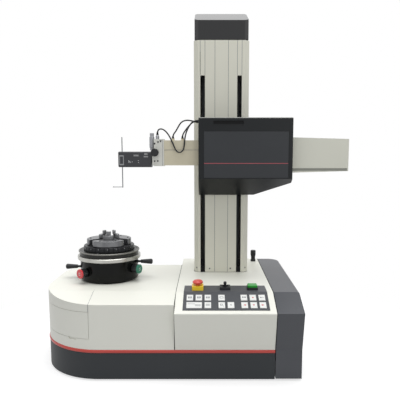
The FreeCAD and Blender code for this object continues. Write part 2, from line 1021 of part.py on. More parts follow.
red_angle = 230
red_level = size("red_level", 217)
green_angle = -27
green_level = size("green_level", 223)
left_lever_angle = 182
left_lever_level = size("left_lever_level", 221)
right_lever_angle = -3
right_lever_level = size("right_lever_level", 235)
bore_clear = size("bore_clearance", 0.1)
housing_form = turned(
    [
        (0, table_foot),
        (housing_radius - 4, table_foot),
        (housing_radius, table_foot + 4),
        (housing_radius, ring_low),
        (0, ring_low),
    ],
    table_x,
    table_y,
    0,
)
bores = []
for angle, level in (
    (red_angle, red_level),
    (green_angle, green_level),
    (left_lever_angle, left_lever_level),
    (right_lever_angle, right_lever_level),
):
    bores.append(radial_bore(angle, level, bore_radius + bore_clear))
node("centring_housing", cut(housing_form, *bores))
node(
    "table_ring",
    turned(
        [
            (shaft_radius, ring_low),
            (ring_radius - 1.2, ring_low),
            (ring_radius, ring_low + 1.2),
            (ring_radius, plate_low - 1.2),
            (ring_radius - 1.2, plate_low),
            (shaft_radius, plate_low),
        ],
        table_x,
        table_y,
        0,
    ),
)
node(
    "table_plate",
    turned(
        [
            (0, plate_low),
            (plate_radius - groove_depth, plate_low),
            (plate_radius - groove_depth, plate_top - 4),
            (plate_radius, plate_top - 3),
            (plate_radius, plate_top - 0.8),
            (plate_radius - 0.8, plate_top),
            (recess_radius, plate_top),
            (recess_radius, recess_low),
            (0, recess_low),
        ],
        table_x,
        table_y,
        0,
    ),
)

# Centring knobs and levers, each with a spigot in its radial bore
disc_radius = size("knob_radius", 12)
disc_start = size("knob_start", 77)
cap_start = size("knob_cap_start", 92)
cap_thick = size("knob_cap_thickness", 4.6)
knob_relief = size("knob_relief", 0.8)
flute_radius = size("knob_flute_radius", 1.6)
flute_count = 14
knob_profile = [
    (0, bore_start + 1),
    (bore_radius, bore_start + 1),
    (bore_radius, disc_start),
    (disc_radius - 2 * knob_relief, disc_start),
    (disc_radius - knob_relief, disc_start + knob_relief),
    (disc_radius - knob_relief, cap_start - knob_relief),
    (disc_radius - 2 * knob_relief, cap_start - knob_relief),
    (disc_radius - 2 * knob_relief, cap_start),
    (disc_radius, cap_start),
    (disc_radius, cap_start + cap_thick - knob_relief),
    (disc_radius - knob_relief, cap_start + cap_thick),
    (0, cap_start + cap_thick),
]


def centring_knob(level, turn):
    """A knob on a radial spigot: fluted grip, groove, smooth end cap."""
    body = turned(knob_profile, table_x, table_y, level, turn)
    flute = take_from(
        body,
        "XY",
        [("circle", disc_radius, 0, flute_radius)],
        disc_start - 1,
        cap_start - knob_relief,
    )
    flutes = body.newObject("PartDesign::PolarPattern", "Flutes")
    flutes.Originals = [flute]
    flutes.Axis = (origin_plane(body, "Z_Axis"), [""])
    flutes.Angle = 360
    flutes.Occurrences = flute_count
    body.Tip = flutes
    return body


node("red_knob", centring_knob(red_level, radial(red_angle)))
node("green_knob", centring_knob(green_level, radial(green_angle)))
grip_start = size("lever_grip_start", 84)
grip_end = size("lever_grip_end", 115)
grip_thin = size("lever_thin_radius", 4.6)
grip_thick = size("lever_thick_radius", 7)
lever_profile = [
    (0, bore_start + 1),
    (bore_radius, bore_start + 1),
    (bore_radius, housing_radius + 1.5),
    (bore_radius * 0.75, housing_radius + 2.5),
    (bore_radius * 0.75, grip_start),
    (grip_thin, grip_start),
    (grip_thick, grip_end - 4),
    (grip_thick * 0.86, grip_end - 1.2),
    (grip_thick * 0.5, grip_end),
    (0, grip_end),
]
node("left_lever", turned(lever_profile, table_x, table_y, left_lever_level, radial(left_lever_angle)))
node("right_lever", turned(lever_profile, table_x, table_y, right_lever_level, radial(right_lever_angle)))

# Scroll chuck: body with three slots, knurled ring, three stepped jaws
chuck_base = size("chuck_base_radius", 60)
chuck_base_height = size("chuck_base_height", 10)
hub_radius = size("hub_radius", 45)
hub_top = size("hub_top", 281)
jaw_angles = (37, 157, 277)
slot_half = size("jaw_slot_half", 7.1)
slot_depth = size("jaw_slot_depth", 3.7)
ring_bore_gap = size("scroll_bore_gap", 0.3)
scroll_radius = size("scroll_radius", 65)
scroll_height = size("scroll_height", 12)
scroll_low = recess_low + chuck_base_height + seat
hub_form = turned(
    [
        (0, recess_low),
        (chuck_base, recess_low),
        (chuck_base, recess_low + chuck_base_height),
        (hub_radius, recess_low + chuck_base_height),
        (hub_radius, hub_top - 0.8),
        (hub_radius - 0.8, hub_top),
        (6, hub_top),
        (6, hub_top - 8),
        (0, hub_top - 8),
    ],
    table_x,
    table_y,
    0,
)
slots = []
for turn in jaw_angles:
    slot = doc.addObject("Part::Box", "Slot")
    slot.Length = num(hub_radius + 2)
    put(slot, "Length", hub_radius + 2)
    slot.Width = num(2 * slot_half)
    put(slot, "Width", 2 * slot_half)
    slot.Height = num(slot_depth + 1)
    put(slot, "Height", slot_depth + 1)
    c = math.cos(math.radians(turn))
    s = math.sin(math.radians(turn))
    place(
        slot,
        table_x + slot_half * s,
        table_y - slot_half * c,
        hub_top - slot_depth,
        Rotation(Vector(0, 0, 1), turn),
    )
    slots.append(slot)
node("chuck_body", cut(hub_form, *slots))
scroll = turned(
    [
        (hub_radius + ring_bore_gap, scroll_low),
        (scroll_radius - 1, scroll_low),
        (scroll_radius, scroll_low + 1),
        (scroll_radius, scroll_low + scroll_height - 1),
        (scroll_radius - 1, scroll_low + scroll_height),
        (hub_radius + ring_bore_gap, scroll_low + scroll_height),
    ],
    table_x,
    table_y,
    0,
)
knurl = size("knurl_half_width", 1.4)
knurl_depth = size("knurl_depth", 1)
notch = take_from(
    scroll,
    "XY",
    [
        [
            (scroll_radius - knurl_depth, -0.5 * knurl),
            (scroll_radius + 1, -1.5 * knurl),
            (scroll_radius + 1, 1.5 * knurl),
            (scroll_radius - knurl_depth, 0.5 * knurl),
        ]
    ],
    scroll_low - 1,
    scroll_low + scroll_height + 1,
)
knurls = scroll.newObject("PartDesign::PolarPattern", "Knurls")
knurls.Originals = [notch]
knurls.Axis = (origin_plane(scroll, "Z_Axis"), [""])
knurls.Angle = 360
knurls.Occurrences = 36
scroll.Tip = knurls
node("chuck_scroll_ring", scroll)

jaw_nose = size("jaw_nose", 12)
jaw_key_half = size("jaw_key_half", 6.8)
jaw_key_end = size("jaw_key_end", 32.4)
jaw_reach = size("jaw_reach", 57)
jaw_flare = size("jaw_flare", 20)
jaw_half = size("jaw_half_width", 21)
jaw_low = size("jaw_lift", 0.3)
jaw_thick = size("jaw_thickness", 15)
jaw_step = size("jaw_step_height", 10)
jaw_pad = size("jaw_pad_half_width", 6.5)
jaw_shelf = size("jaw_shelf_half_width", 9)
jaw_round = size("jaw_round", 8)


def jaw(turn):
    """A jaw that runs along its own +X: key in the slot, rounded lobe, two steps."""
    body = solid_of(
        "XY",
        [
            [
                (jaw_nose, -1.5),
                (jaw_nose + 5.5, -9),
                (jaw_nose + jaw_flare, -jaw_half),
                (jaw_reach, -jaw_half),
                (jaw_reach, jaw_half),
                (jaw_nose + jaw_flare, jaw_half),
                (jaw_nose + 5.5, 9),
                (jaw_nose, 1.5),
            ]
        ],
        hub_top + jaw_low,
        hub_top + jaw_low + jaw_thick,
    )
    rounded(
        body,
        jaw_round * 1.6,
        line_at(x=jaw_reach, y=-jaw_half),
        line_at(x=jaw_reach, y=jaw_half),
    )
    rounded(
        body,
        jaw_round,
        line_at(x=jaw_nose + jaw_flare, y=-jaw_half),
        line_at(x=jaw_nose + jaw_flare, y=jaw_half),
    )
    lobe_top = hub_top + jaw_low + jaw_thick
    steps = [
        (jaw_nose + 26, jaw_shelf, lobe_top, lobe_top + jaw_step),
        (jaw_nose + 15, jaw_pad, lobe_top + jaw_step, lobe_top + 2 * jaw_step),
    ]
    for end, half, low, high in steps:
        add_to(
            body,
            "XY",
            [
                [
                    (jaw_nose, -1.5),
                    (jaw_nose + half * 0.62, -half),
                    (end, -half),
                    (end, half),
                    (jaw_nose + half * 0.62, half),
                    (jaw_nose, 1.5),
                ]
            ],
            low,
            high,
        )
    add_to(
        body,
        "XY",
        [
            [
                (jaw_nose + 3, -jaw_key_half),
                (jaw_key_end, -jaw_key_half),
                (jaw_key_end, jaw_key_half),
                (jaw_nose + 3, jaw_key_half),
            ]
        ],
        hub_top - slot_depth + seat,
        hub_top + jaw_low,
    )
    place(body, table_x, table_y, 0, Rotation(Vector(0, 0, 1), turn))
    return body


for k, turn in enumerate(jaw_angles):
    node("jaw_%d" % (k + 1), jaw(turn))

# Column: cast frame with rails and screw, sheet covers with two slots, hood
column_top = size("column_top", 812)
slot_top = size("slot_top", 722)
sheet_wall = size("column_sheet", 2.5)
slot_a = size("slot_left_edge", 1)
slot_b = size("slot_left_inner", 13.4)
slot_c = size("slot_right_inner", 98.5)
slot_d = size("slot_right_edge", 110.5)
covers_low = console_deck + 0.5


def column_outline(inset):
    c = column_chamfer - inset * 0.6
    return [
        (column_left + inset + c, column_front + inset),
        (column_right - inset - c, column_front + inset),
        (column_right - inset, column_front + inset + c),
        (column_right - inset, column_back - inset),
        (column_left + inset, column_back - inset),
        (column_left + inset, column_front + inset + c),
    ]


covers = solid_of("XY", [column_outline(none)], covers_low, column_top)
take_from(covers, "XY", [column_outline(sheet_wall)], covers_low - 1, column_top + 1)
take_from(
    covers,
    "XZ",
    [[(slot_a, covers_low - 1), (slot_d, covers_low - 1), (slot_d, slot_top), (slot_a, slot_top)]],
    column_front - 1,
    column_front + sheet_wall + 1,
)
take_from(
    covers,
    "XZ",
    [
        [
            (slot_b - seat, slot_top - 1),
            (slot_c + seat, slot_top - 1),
            (slot_c + seat, column_top + 1),
            (slot_b - seat, column_top + 1),
        ]
    ],
    column_front - 1,
    column_front + sheet_wall + 1,
)
node("column_side_covers", covers)

front_groove = size("front_groove", 1)
groove_left = size("front_groove_left", 39.6)
groove_right = size("front_groove_right", 74.9)
front_cover = solid_of(
    "XY",
    [
        [
            (slot_b, column_front + none),
            (slot_c, column_front + none),
            (slot_c, column_front + sheet_wall),
            (slot_b, column_front + sheet_wall),
        ]
    ],
    covers_low,
    column_top,
)
for middle in (groove_left, groove_right):
    take_from(
        front_cover,
        "XY",
        [
            [
                (middle - front_groove / 2, column_front - 1),
                (middle + front_groove / 2, column_front - 1),
                (middle + front_groove / 2, column_front + front_groove),
                (middle - front_groove / 2, column_front + front_groove),
            ]
        ],
        covers_low - 1,
        column_top + 1,
    )
node("column_front_cover", front_cover)

lip = size("seal_lip_width", 1.6)


def seal(low_x, high_x):
    return box(
        low_x,
        high_x,
        column_front + 0.5,
        column_front + sheet_wall - 0.2,
        covers_low,
        slot_top - seat,
    )


node(
    "slot_seals",
    group(
        seal(slot_a + seat * 0.5, slot_a + lip),
        seal(slot_b - lip, slot_b - seat * 0.5),
        seal(slot_c + seat * 0.5, slot_c + lip),
        seal(slot_d - lip, slot_d - seat * 0.5),
    ),
)

frame_left = size("frame_left", 5)
frame_right = size("frame_right", 109)
frame_front = size("frame_front", 96)
frame_back = size("frame_back", 165)
frame_wall = size("frame_wall", 10)
frame_top = size("frame_top", 800)
screw_x = size("screw_x", 57)
screw_y = size("screw_y", 83)
screw_radius = size("screw_radius", 8)
rail_a = size("rail_left_x", 22)
rail_b = size("rail_right_x", 92)
rail_half = size("rail_half_width", 7.5)
rail_height = size("rail_height", 12)
frame = solid_of(
    "XY",
    [
        [
            (frame_left, frame_front),
            (frame_right, frame_front),
            (frame_right, frame_back),
            (frame_left, frame_back),
        ],
        [
            (frame_left + frame_wall, frame_front + frame_wall),
            (frame_right - frame_wall, frame_front + frame_wall),
            (frame_right - frame_wall, frame_back - frame_wall),
            (frame_left + frame_wall, frame_back - frame_wall),
        ],
    ],
    pedestal_top,
    frame_top,
)
foot_height = size("frame_foot_height", 14)
foot_form = solid_of("XY", [column_outline(sheet_wall + seat)], pedestal_top, pedestal_top + foot_height)
head_height = size("frame_head_height", 10)
head_form = box(
    frame_left,
    frame_right,
    column_front + sheet_wall + seat,
    frame_front + 1,
    frame_top - head_height,
    frame_top,
)
step_form = box(screw_x - 15, screw_x + 15, screw_y - 12, frame_front + 1, pedestal_top + foot_height - 1,
                pedestal_top + foot_height + 10)
node(
    "column_frame",
    cut(
        join(frame, foot_form, head_form, step_form),
        cylinder(screw_radius + 1, screw_x, screw_y, frame_top - head_height - 1, head_height + 3),
        cylinder(
            screw_radius * 0.75 + pin_clear,
            screw_x,
            screw_y,
            pedestal_top + foot_height - 4,
            20,
        ),
    ),
)
rail_low = pedestal_top + foot_height + 11
rail_high = frame_top - head_height - 2


def guide_rail(middle):
    body = solid_of(
        "XY",
        [
            [
                (middle - rail_half, frame_front),
                (middle - rail_half, frame_front - rail_height * 0.4),
                (middle - rail_half + 1.6, frame_front - rail_height * 0.55),
                (middle - rail_half, frame_front - rail_height * 0.7),
                (middle - rail_half, frame_front - rail_height),
                (middle + rail_half, frame_front - rail_height),
                (middle + rail_half, frame_front - rail_height * 0.7),
                (middle + rail_half - 1.6, frame_front - rail_height * 0.55),
                (middle + rail_half, frame_front - rail_height * 0.4),
                (middle + rail_half, frame_front),
            ]
        ],
        rail_low,
        rail_high,
    )
    return body


node("z_guide_rails", group(guide_rail(rail_a), guide_rail(rail_b)))
screw_low = pedestal_top + foot_height - 3
node(
    "ball_screw",
    turned(
        [
            (0, screw_low),
            (screw_radius * 0.75, screw_low),
            (screw_radius * 0.75, pedestal_top + foot_height + 10 + seat),
            (screw_radius, pedestal_top + foot_height + 10 + seat),
            (screw_radius, frame_top - head_height - 4),
            (screw_radius * 0.75, frame_top - head_height - 4),
            (screw_radius * 0.75, frame_top + 5.7),
            (0, frame_top + 5.7),
        ],
        screw_x,
        screw_y,
        0,
    ),
)
motor_half = size("motor_half", 28)
motor_height = size("motor_height", 44)
motor_plate = size("motor_plate", 6)
motor_box = solid_of(
    "XY", [rectangle(screw_x, screw_y, motor_half, motor_half)], frame_top + motor_plate, frame_top + motor_plate + motor_height
)
bevelled(
    motor_box,
    5,
    line_at(x=screw_x - motor_half, y=screw_y - motor_half),
    line_at(x=screw_x + motor_half, y=screw_y - motor_half),
    line_at(x=screw_x - motor_half, y=screw_y + motor_half),
    line_at(x=screw_x + motor_half, y=screw_y + motor_half),
)
plate_form = box(screw_x - motor_half - 6, screw_x + motor_half + 6, screw_y - motor_half, frame_back,
                 frame_top, frame_top + motor_plate)
node(
    "z_motor",
    cut(
        join(motor_box, plate_form),
        cylinder(screw_radius + 1, screw_x, screw_y, frame_top - 1, motor_plate + 1),
    ),
)

# Hood on the column: inset by a step, sloping top
cap_inset = size("cap_inset", 2)
cap_front_top = size("cap_front_top", 863)
cap_peak = size("cap_peak", 905)
cap_peak_y = size("cap_peak_y", 150)
cap_wall = size("cap_wall", 2.5)
cap_collar = size("cap_collar", 3)


def cap_plan(inset, low, high):
    return solid_of("XY", [column_outline(cap_inset + inset)], low, high)


def cap_profile(drop):
    body = solid_of(
        "YZ",
        [
            [
                (column_front - 5, column_top - 5),
                (column_front - 5, cap_front_top - drop - 3),
                (cap_peak_y, cap_peak - drop),
                (column_back + 5, cap_peak - drop),
                (column_back + 5, column_top - 5),
            ]
        ],
        column_left + cap_inset + drop,
        column_right - cap_inset - drop,
    )
    return body


cap_side_bevel = size("cap_side_bevel", 5)
cap_outer_profile = cap_profile(none)
bevelled(
    cap_outer_profile,
    cap_side_bevel,
    line_at(x=column_left + cap_inset + none, z=cap_peak - none),
    line_at(x=column_right - cap_inset - none, z=cap_peak - none),
)
cap_outer = common(cap_plan(none, column_top, cap_peak + 5), cap_outer_profile)
cap_inner = common(cap_plan(cap_wall, column_top - 1, cap_peak + 5), cap_profile(cap_wall))
cap_step = cut(
    cap_plan(-1 * cap_inset - 1, column_top - 1, column_top + cap_collar),
    cap_plan(cap_wall * 0.5, column_top - 2, column_top + cap_collar + 1),
)
node("column_cap", cut(cut(cap_outer, cap_inner), cap_step))

# Carriage: hollow cover with a slanted underside, inset panel, back plate with ears
car_left = size("car_left", -2.6)
car_right = size("car_right", 233)
car_front = size("car_front", -45)
car_back = size("car_back", 41)
car_top = size("car_top", 607)
car_front_low = size("car_front_low", 455)
car_back_low = size("car_back_low", 408)
car_wall = size("car_wall", 3)
car_cut_x = size("car_cut_x", 143.6)
car_cut_rise = size("car_cut_rise", 0.4)
car_round = size("car_round", 3)


def car_profile(wall):
    return [
        (car_front + wall, car_front_low + wall * 0.6),
        (car_front + wall, car_top - wall),
        (car_back - wall, car_top - wall),
        (car_back - wall, car_back_low + wall * 1.7),
    ]


def car_wedge(lift):
    far = car_right + 20
    return solid_of(
        "XZ",
        [
            [
                (car_cut_x, car_back_low - 20),
                (car_cut_x, car_back_low + lift),
                (far, car_back_low + lift + (far - car_cut_x) * car_cut_rise),
                (far, car_back_low - 20),
            ]
        ],
        car_front - 10,
        car_back + 10,
    )


car_form = solid_of("YZ", [car_profile(none)], car_left, car_right)
rounded(
    car_form,
    car_round,
    line_at(y=car_front + none, z=car_top - none),
    line_at(x=car_left, z=car_top - none),
    line_at(x=car_right, z=car_top - none),
    line_at(x=car_left, y=car_front + none),
    line_at(x=car_right, y=car_front + none),
)
car_outer = cut(car_form, car_wedge(none))
car_inner = cut(
    solid_of("YZ", [car_profile(car_wall)], car_left + car_wall, car_right - car_wall),
    car_wedge(car_wall * 1.2),
)
arm_front = size("arm_front", -15)
arm_back = size("arm_back", 25)
arm_low = size("arm_low", 488)
arm_high = size("arm_high", 551.4)
arm_left = size("arm_left", -90.6)
tail_left = size("tail_left", 236.5)
tail_right = size("tail_right", 380)
tail_front = size("tail_front", -18)
tail_back = size("tail_back", 26.5)
tail_low = size("tail_low", 469.6)
tail_high = size("tail_high", 558.8)
pass_gap = size("pass_gap", 3.2)
beam_gland = size("beam_gland_height", 5)
plate_low_z = size("saddle_low", 450.3)
plate_thick = size("saddle_thickness", 8)
back_window = box(
    car_left + car_wall,
    car_right - car_wall,
    car_back - car_wall - 1,
    car_back + 1,
    plate_low_z - seat,
    car_top - car_wall,
)
left_window = box(
    car_left - 1,
    car_left + car_wall + 1,
    arm_front - pass_gap,
    arm_back + pass_gap,
    arm_low - pass_gap,
    arm_high + beam_gland + pass_gap,
)
right_window = box(
    car_right - car_wall - 1, car_right + 1, tail_front - pass_gap, tail_back + pass_gap, tail_low - pass_gap, tail_high + pass_gap
)
inset_left = size("inset_left", 11.2)
inset_right = size("inset_right", 222)
inset_low = size("inset_low", 457.5)
inset_high = size("inset_high", 572.6)
inset_depth = size("inset_depth", 1.6)
inset_gap = size("inset_gap", 0.5)
inset_pocket = box(
    inset_left - inset_gap,
    inset_right + inset_gap,
    car_front - 1,
    car_front + inset_depth,
    inset_low - inset_gap,
    inset_high + inset_gap,
)
recess_a = size("recess_left", 34.7)
recess_b = size("recess_right", 110)
recess_c = size("recess_low", 587)
recess_d = size("recess_high", 599)
slot_recess = box(recess_a, recess_b, car_front - 1, car_front + 2, recess_c, recess_d)
gland_reach = size("gland_reach", 4.4)
gland_radius = size("gland_radius", 3.4)
gland_level = size("gland_level", 600)
gland_first = size("gland_first", -4)
gland_step = size("gland_step", 10)
glands = []
for k in range(3):
    glands.append(
        cylinder(gland_radius, car_left - gland_reach, gland_first + gland_step * k, gland_level, gland_reach + 1, "x")
    )
car_shell = cut(car_outer, car_inner)
car_body = cut(car_shell, back_window, left_window, right_window, inset_pocket, slot_recess)
node("carriage_cover", join(car_body, *glands))

stripe_level = size("stripe_level", 493.5)
inset_panel = solid_of(
    "XZ",
    [[(inset_left, inset_low), (inset_right, inset_low), (inset_right, inset_high), (inset_left, inset_high)]],
    car_front + seat,
    car_front + inset_depth,
)
take_from(
    inset_panel,
    "XZ",
    [
        [
            (inset_left - 1, stripe_level - 0.7),
            (inset_right + 1, stripe_level - 0.7),
            (inset_right + 1, stripe_level + 0.7),
            (inset_left - 1, stripe_level + 0.7),
        ]
    ],
    car_front - 1,
    car_front + seat + 0.3,
)
node("carriage_front_panel", inset_panel)

ear_low = size("ear_low", 455)
ear_high = size("ear_high", 520)
ear_gap = size("ear_gap", 0.3)
inner_front = size("inner_plate_front", 60)
inner_thick = size("inner_plate_thickness", 10)
saddle_form = box(
    car_left + car_wall + seat,
    car_right - car_wall - seat,
    car_back - plate_thick,
    car_back,
    plate_low_z,
    car_top - car_wall - seat,
)
ear_a = box(slot_a + lip + ear_gap, slot_b - lip - ear_gap, car_back - 1, inner_front, ear_low, ear_high)
ear_b = box(slot_c + lip + ear_gap, slot_d - lip - ear_gap, car_back - 1, inner_front, ear_low, ear_high)
node("carriage_saddle", join(saddle_form, ear_a, ear_b))
nut_radius = size("nut_radius", 12.4)
nut_clear = size("nut_clearance", 0.3)
inner_plate = box(slot_a, slot_d + 1, inner_front, inner_front + inner_thick, ear_low, ear_high)
nut_block = box(screw_x - nut_radius, screw_x + nut_radius, inner_front + inner_thick - 1, screw_y, ear_low + 12, ear_high - 12)
nut_round = cylinder(nut_radius, screw_x, screw_y, ear_low + 12, span(ear_low + 12, ear_high - 12))
nut_bore = cylinder(screw_radius + nut_clear, screw_x, screw_y, ear_low, span(ear_low, ear_high))
node("saddle_plate", cut(join(inner_plate, nut_block, nut_round), nut_bore))
truck_half = size("truck_half_width", 16.5)
truck_gap = size("truck_gap", 0.3)


def truck(middle):
    front = inner_front + inner_thick
    back = frame_front - rail_height + 7
    side_gap = rail_half + truck_gap
    return solid_of(
        "XY",
        [
            [
                (middle - truck_half, front),
                (middle + truck_half, front),
                (middle + truck_half, back),
                (middle + side_gap, back),
                (middle + side_gap, frame_front - rail_height - truck_gap),
                (middle - side_gap, frame_front - rail_height - truck_gap),
                (middle - side_gap, back),
                (middle - truck_half, back),
            ]
        ],
        ear_low + 2,
        ear_high - 2,
    )


node("guide_trucks", group(truck(rail_a), truck(rail_b)))
x_rail_left = size("x_rail_left", 8)
x_rail_right = size("x_rail_right", 225)
x_rail_half = size("x_rail_half", 10)
x_rail_level = size("x_rail_level", 520)
x_rail_thick = size("x_rail_thickness", 5.5)
saddle_front = car_back - plate_thick
node(
    "x_rail",
    box(
        x_rail_left,
        x_rail_right,
        saddle_front - x_rail_thick,
        saddle_front,
        x_rail_level - x_rail_half,
        x_rail_level + x_rail_half,
    ),
)

# Measuring arm: beam, truck, rear cover with its strip, end bracket
arm_tail = size("arm_tail", 300)
arm_wall = size("arm_wall", 4)
arm_line = size("arm_line", 527)
beam = solid_of(
    "YZ",
    [
        [(arm_front, arm_low), (arm_back, arm_low), (arm_back, arm_high), (arm_front, arm_high)],
        [
            (arm_front + arm_wall, arm_low + arm_wall),
            (arm_back - arm_wall, arm_low + arm_wall),
            (arm_back - arm_wall, arm_high - arm_wall),
            (arm_front + arm_wall, arm_high - arm_wall),
        ],
    ],
    arm_left,
    arm_tail,
)
take_from(
    beam,
    "YZ",
    [
        [
            (arm_front - 1, arm_line - 0.6),
            (arm_front + 0.8, arm_line - 0.6),
            (arm_front + 0.8, arm_line + 0.6),
            (arm_front - 1, arm_line + 0.6),
        ]
    ],
    arm_left - 1,
    arm_tail + 1,
)
beam_gland_radius = size("beam_gland_radius", 4)
gland_a_x = size("beam_gland_a_x", -69)
gland_a_y = size("beam_gland_a_y", 5)
gland_b_x = size("beam_gland_b_x", -45)
gland_b_y = size("beam_gland_b_y", 14)
node(
    "arm_beam",
    join(
        beam,
        cylinder(beam_gland_radius, gland_a_x, gland_a_y, arm_high - 1, beam_gland + 1),
        cylinder(beam_gland_radius, gland_b_x, gland_b_y, arm_high - 1, beam_gland + 1),
    ),
)
truck_left = size("arm_truck_left", 100)
truck_right = size("arm_truck_right", 140)
truck_reach = size("arm_truck_reach", 6.5)
rail_top_gap = size("arm_rail_gap", 0.3)
node(
    "arm_truck",
    solid_of(
        "YZ",
        [
            [
                (arm_back, x_rail_level - x_rail_half - 10),
                (arm_back + truck_reach, x_rail_level - x_rail_half - 10),
                (arm_back + truck_reach, x_rail_level - x_rail_half - rail_top_gap),
                (saddle_front - x_rail_thick - rail_top_gap, x_rail_level - x_rail_half - rail_top_gap),
                (saddle_front - x_rail_thick - rail_top_gap, x_rail_level + x_rail_half + rail_top_gap),
                (arm_back + truck_reach, x_rail_level + x_rail_half + rail_top_gap),
                (arm_back + truck_reach, x_rail_level + x_rail_half + 10),
                (arm_back, x_rail_level + x_rail_half + 10),
            ]
        ],
        truck_left,
        truck_right,
    ),
)
tail_taper = size("tail_taper", 4)
tail_wall = size("tail_wall", 2.4)
tail_round = size("tail_round", 3)
tail_form = solid_of(
    "XZ",
    [
        [
            (tail_left, tail_low),
            (tail_right, tail_low + tail_taper),
            (tail_right, tail_high - tail_taper),
            (tail_left, tail_high),
        ]
    ],
    tail_front,
    tail_back,
)
rounded(
    tail_form,
    tail_round,
    line_at(x=tail_right, y=tail_front),
    line_at(x=tail_right, y=tail_back),
)
take_from(
    tail_form,
    "XZ",
    [
        [
            (tail_left - 1, tail_low + tail_wall),
            (tail_right - tail_wall, tail_low + tail_taper + tail_wall),
            (tail_right - tail_wall, tail_high - tail_taper - tail_wall),
            (tail_left - 1, tail_high - tail_wall),
        ]
    ],
    arm_front - seat,
    arm_back + seat,
)
node("arm_rear_cover", tail_form)
band_low = size("band_low", 474.5)
band_high = size("band_high", 481)
band_thick = size("band_thickness", 0.6)
node(
    "arm_cover_strip",
    box(tail_left + 1, tail_right - tail_round - 1, tail_front - band_thick, tail_front, band_low, band_high),
)

bracket_left = size("bracket_left", -121)
bracket_low = size("bracket_low", 486)
bracket_high = size("bracket_high", 554.6)
bracket_bevel = size("bracket_bevel", 4)
ledge_x = size("ledge_x", -116.5)
ledge_z = size("ledge_z", 526.5)
probe_y = size("probe_y", 7)
probe_z = size("probe_z", 503)
spigot_radius = size("probe_spigot_radius", 6)
spigot_fit = size("probe_spigot_fit", 0.05)
clamp_x = size("clamp_x", -113.9)
clamp_z = size("clamp_z", 520.6)
clamp_radius = size("clamp_radius", 10)
clamp_screw = size("clamp_screw_radius", 3)
bracket = solid_of(
    "XZ",
    [
        [
            (bracket_left, bracket_low + bracket_bevel),
            (bracket_left + bracket_bevel, bracket_low),
            (arm_left - seat, bracket_low),
            (arm_left - seat, bracket_high),
            (ledge_x, bracket_high),
            (ledge_x, ledge_z),
            (bracket_left, ledge_z),
        ]
    ],
    arm_front,
    arm_back,
)
spigot_end = arm_left - 4
node(
    "arm_end_bracket",
    cut(
        bracket,
        cylinder(spigot_radius + spigot_fit, bracket_left - 1, probe_y, probe_z, span(bracket_left - 1, spigot_end + 1), "x"),
        cylinder(clamp_screw + pin_clear, clamp_x, arm_front - 1, clamp_z, 18, "y"),
    ),
)
connector_x = size("connector_x", -123.5)
connector_radius = size("connector_radius", 6.5)
connector_top = size("connector_top", 570)
plug_x = size("plug_x", -109)
plug_y = size("plug_y", 5)
plug_radius = size("plug_radius", 4.6)
plug_top = size("plug_top", 566)
connector = turned(
    [
        (0, ledge_z),
        (connector_radius * 0.8, ledge_z),
        (connector_radius * 0.8, ledge_z + 6),
        (connector_radius, ledge_z + 7),
        (connector_radius, connector_top - 10),
        (connector_radius * 0.8, connector_top - 9),
        (connector_radius * 0.8, connector_top),
        (0, connector_top),
    ],
    connector_x,
    plug_y,
    0,
)
plug = turned(
    [
        (0, bracket_high),
        (plug_radius, bracket_high),
        (plug_radius, plug_top - 4),
        (plug_radius * 0.55, plug_top),
        (0, plug_top),
    ],
    plug_x,
    plug_y,
    0,
)
node("probe_connector", group(connector, plug))
clamp_disc = size("clamp_disc_thickness", 9)
node(
    "clamp_knob",
    turned(
        [
            (0, -14),
            (clamp_screw, -14),
            (clamp_screw, seat),
            (clamp_radius * 0.6, seat),
            (clamp_radius * 0.6, 3),
            (clamp_radius - 0.8, 3),
            (clamp_radius, 3.8),
            (clamp_radius, 2.2 + clamp_disc),
            (clamp_radius - 0.8, 3 + clamp_disc),
            (0, 3 + clamp_disc),
        ],
        clamp_x,
        arm_front,
        clamp_z,
        Rotation(Vector(1, 0, 0), 90),
    ),
)

# Probe: rounded body on a spigot, window with the stylus holder, stylus with its cross pin
probe_left = size("probe_left", -209.5)
probe_right = size("probe_right", -124)
probe_half_y = size("probe_half_depth", 14)
probe_half_z = size("probe_half_height", 20)
probe_round = size("probe_round", 4)
stylus_x = size("stylus_x", -201)
window_half = size("window_half_width", 6.2)
window_low = size("window_low", 488)
window_high = size("window_high", 514)
stylus_bore = size("stylus_bore_radius", 3.6)
probe_form = solid_of(
    "YZ", [rectangle(probe_y, probe_z, probe_half_y, probe_half_z)], probe_left, probe_right
)
rounded(
    probe_form,
    probe_round,
    line_at(y=probe_y - probe_half_y, z=probe_z - probe_half_z),
    line_at(y=probe_y + probe_half_y, z=probe_z - probe_half_z),
    line_at(y=probe_y - probe_half_y, z=probe_z + probe_half_z),
    line_at(y=probe_y + probe_half_y, z=probe_z + probe_half_z),
)
bevelled(probe_form, 1.5, line_at(x=probe_left))
window_back = table_y + 4
probe_window = box(
    stylus_x - window_half,
    stylus_x + window_half,
    probe_y - probe_half_y - 1,
    window_back,
    window_low,
    window_high,
)
probe_bore = cylinder(stylus_bore, stylus_x, table_y, probe_z - probe_half_z - 1, 2 * probe_half_z + 2)
probe_neck = cylinder(spigot_radius, probe_right - 1, probe_y, probe_z, span(probe_right - 1, spigot_end), "x")
probe_collar = cylinder(spigot_radius + 3.5, probe_right - 1, probe_y, probe_z, span(probe_right - 1, bracket_left - seat), "x")
node("probe_body", join(cut(probe_form, probe_window, probe_bore), probe_neck, probe_collar))
stylus_radius = size("stylus_radius", 1.3)
stylus_low = size("stylus_low", 430)
stylus_high = size("stylus_high", 560)
tip_left = size("tip_left", -227)
tip_level = size("tip_level", 431.5)
holder_bore = size("holder_bore_radius", 2.5)
holder_form = box(
    stylus_x - window_half + seat,
    stylus_x + window_half - seat,
    probe_y - probe_half_y + 0.5,
    window_back - seat,
    window_low + seat,
    window_high - seat,
)
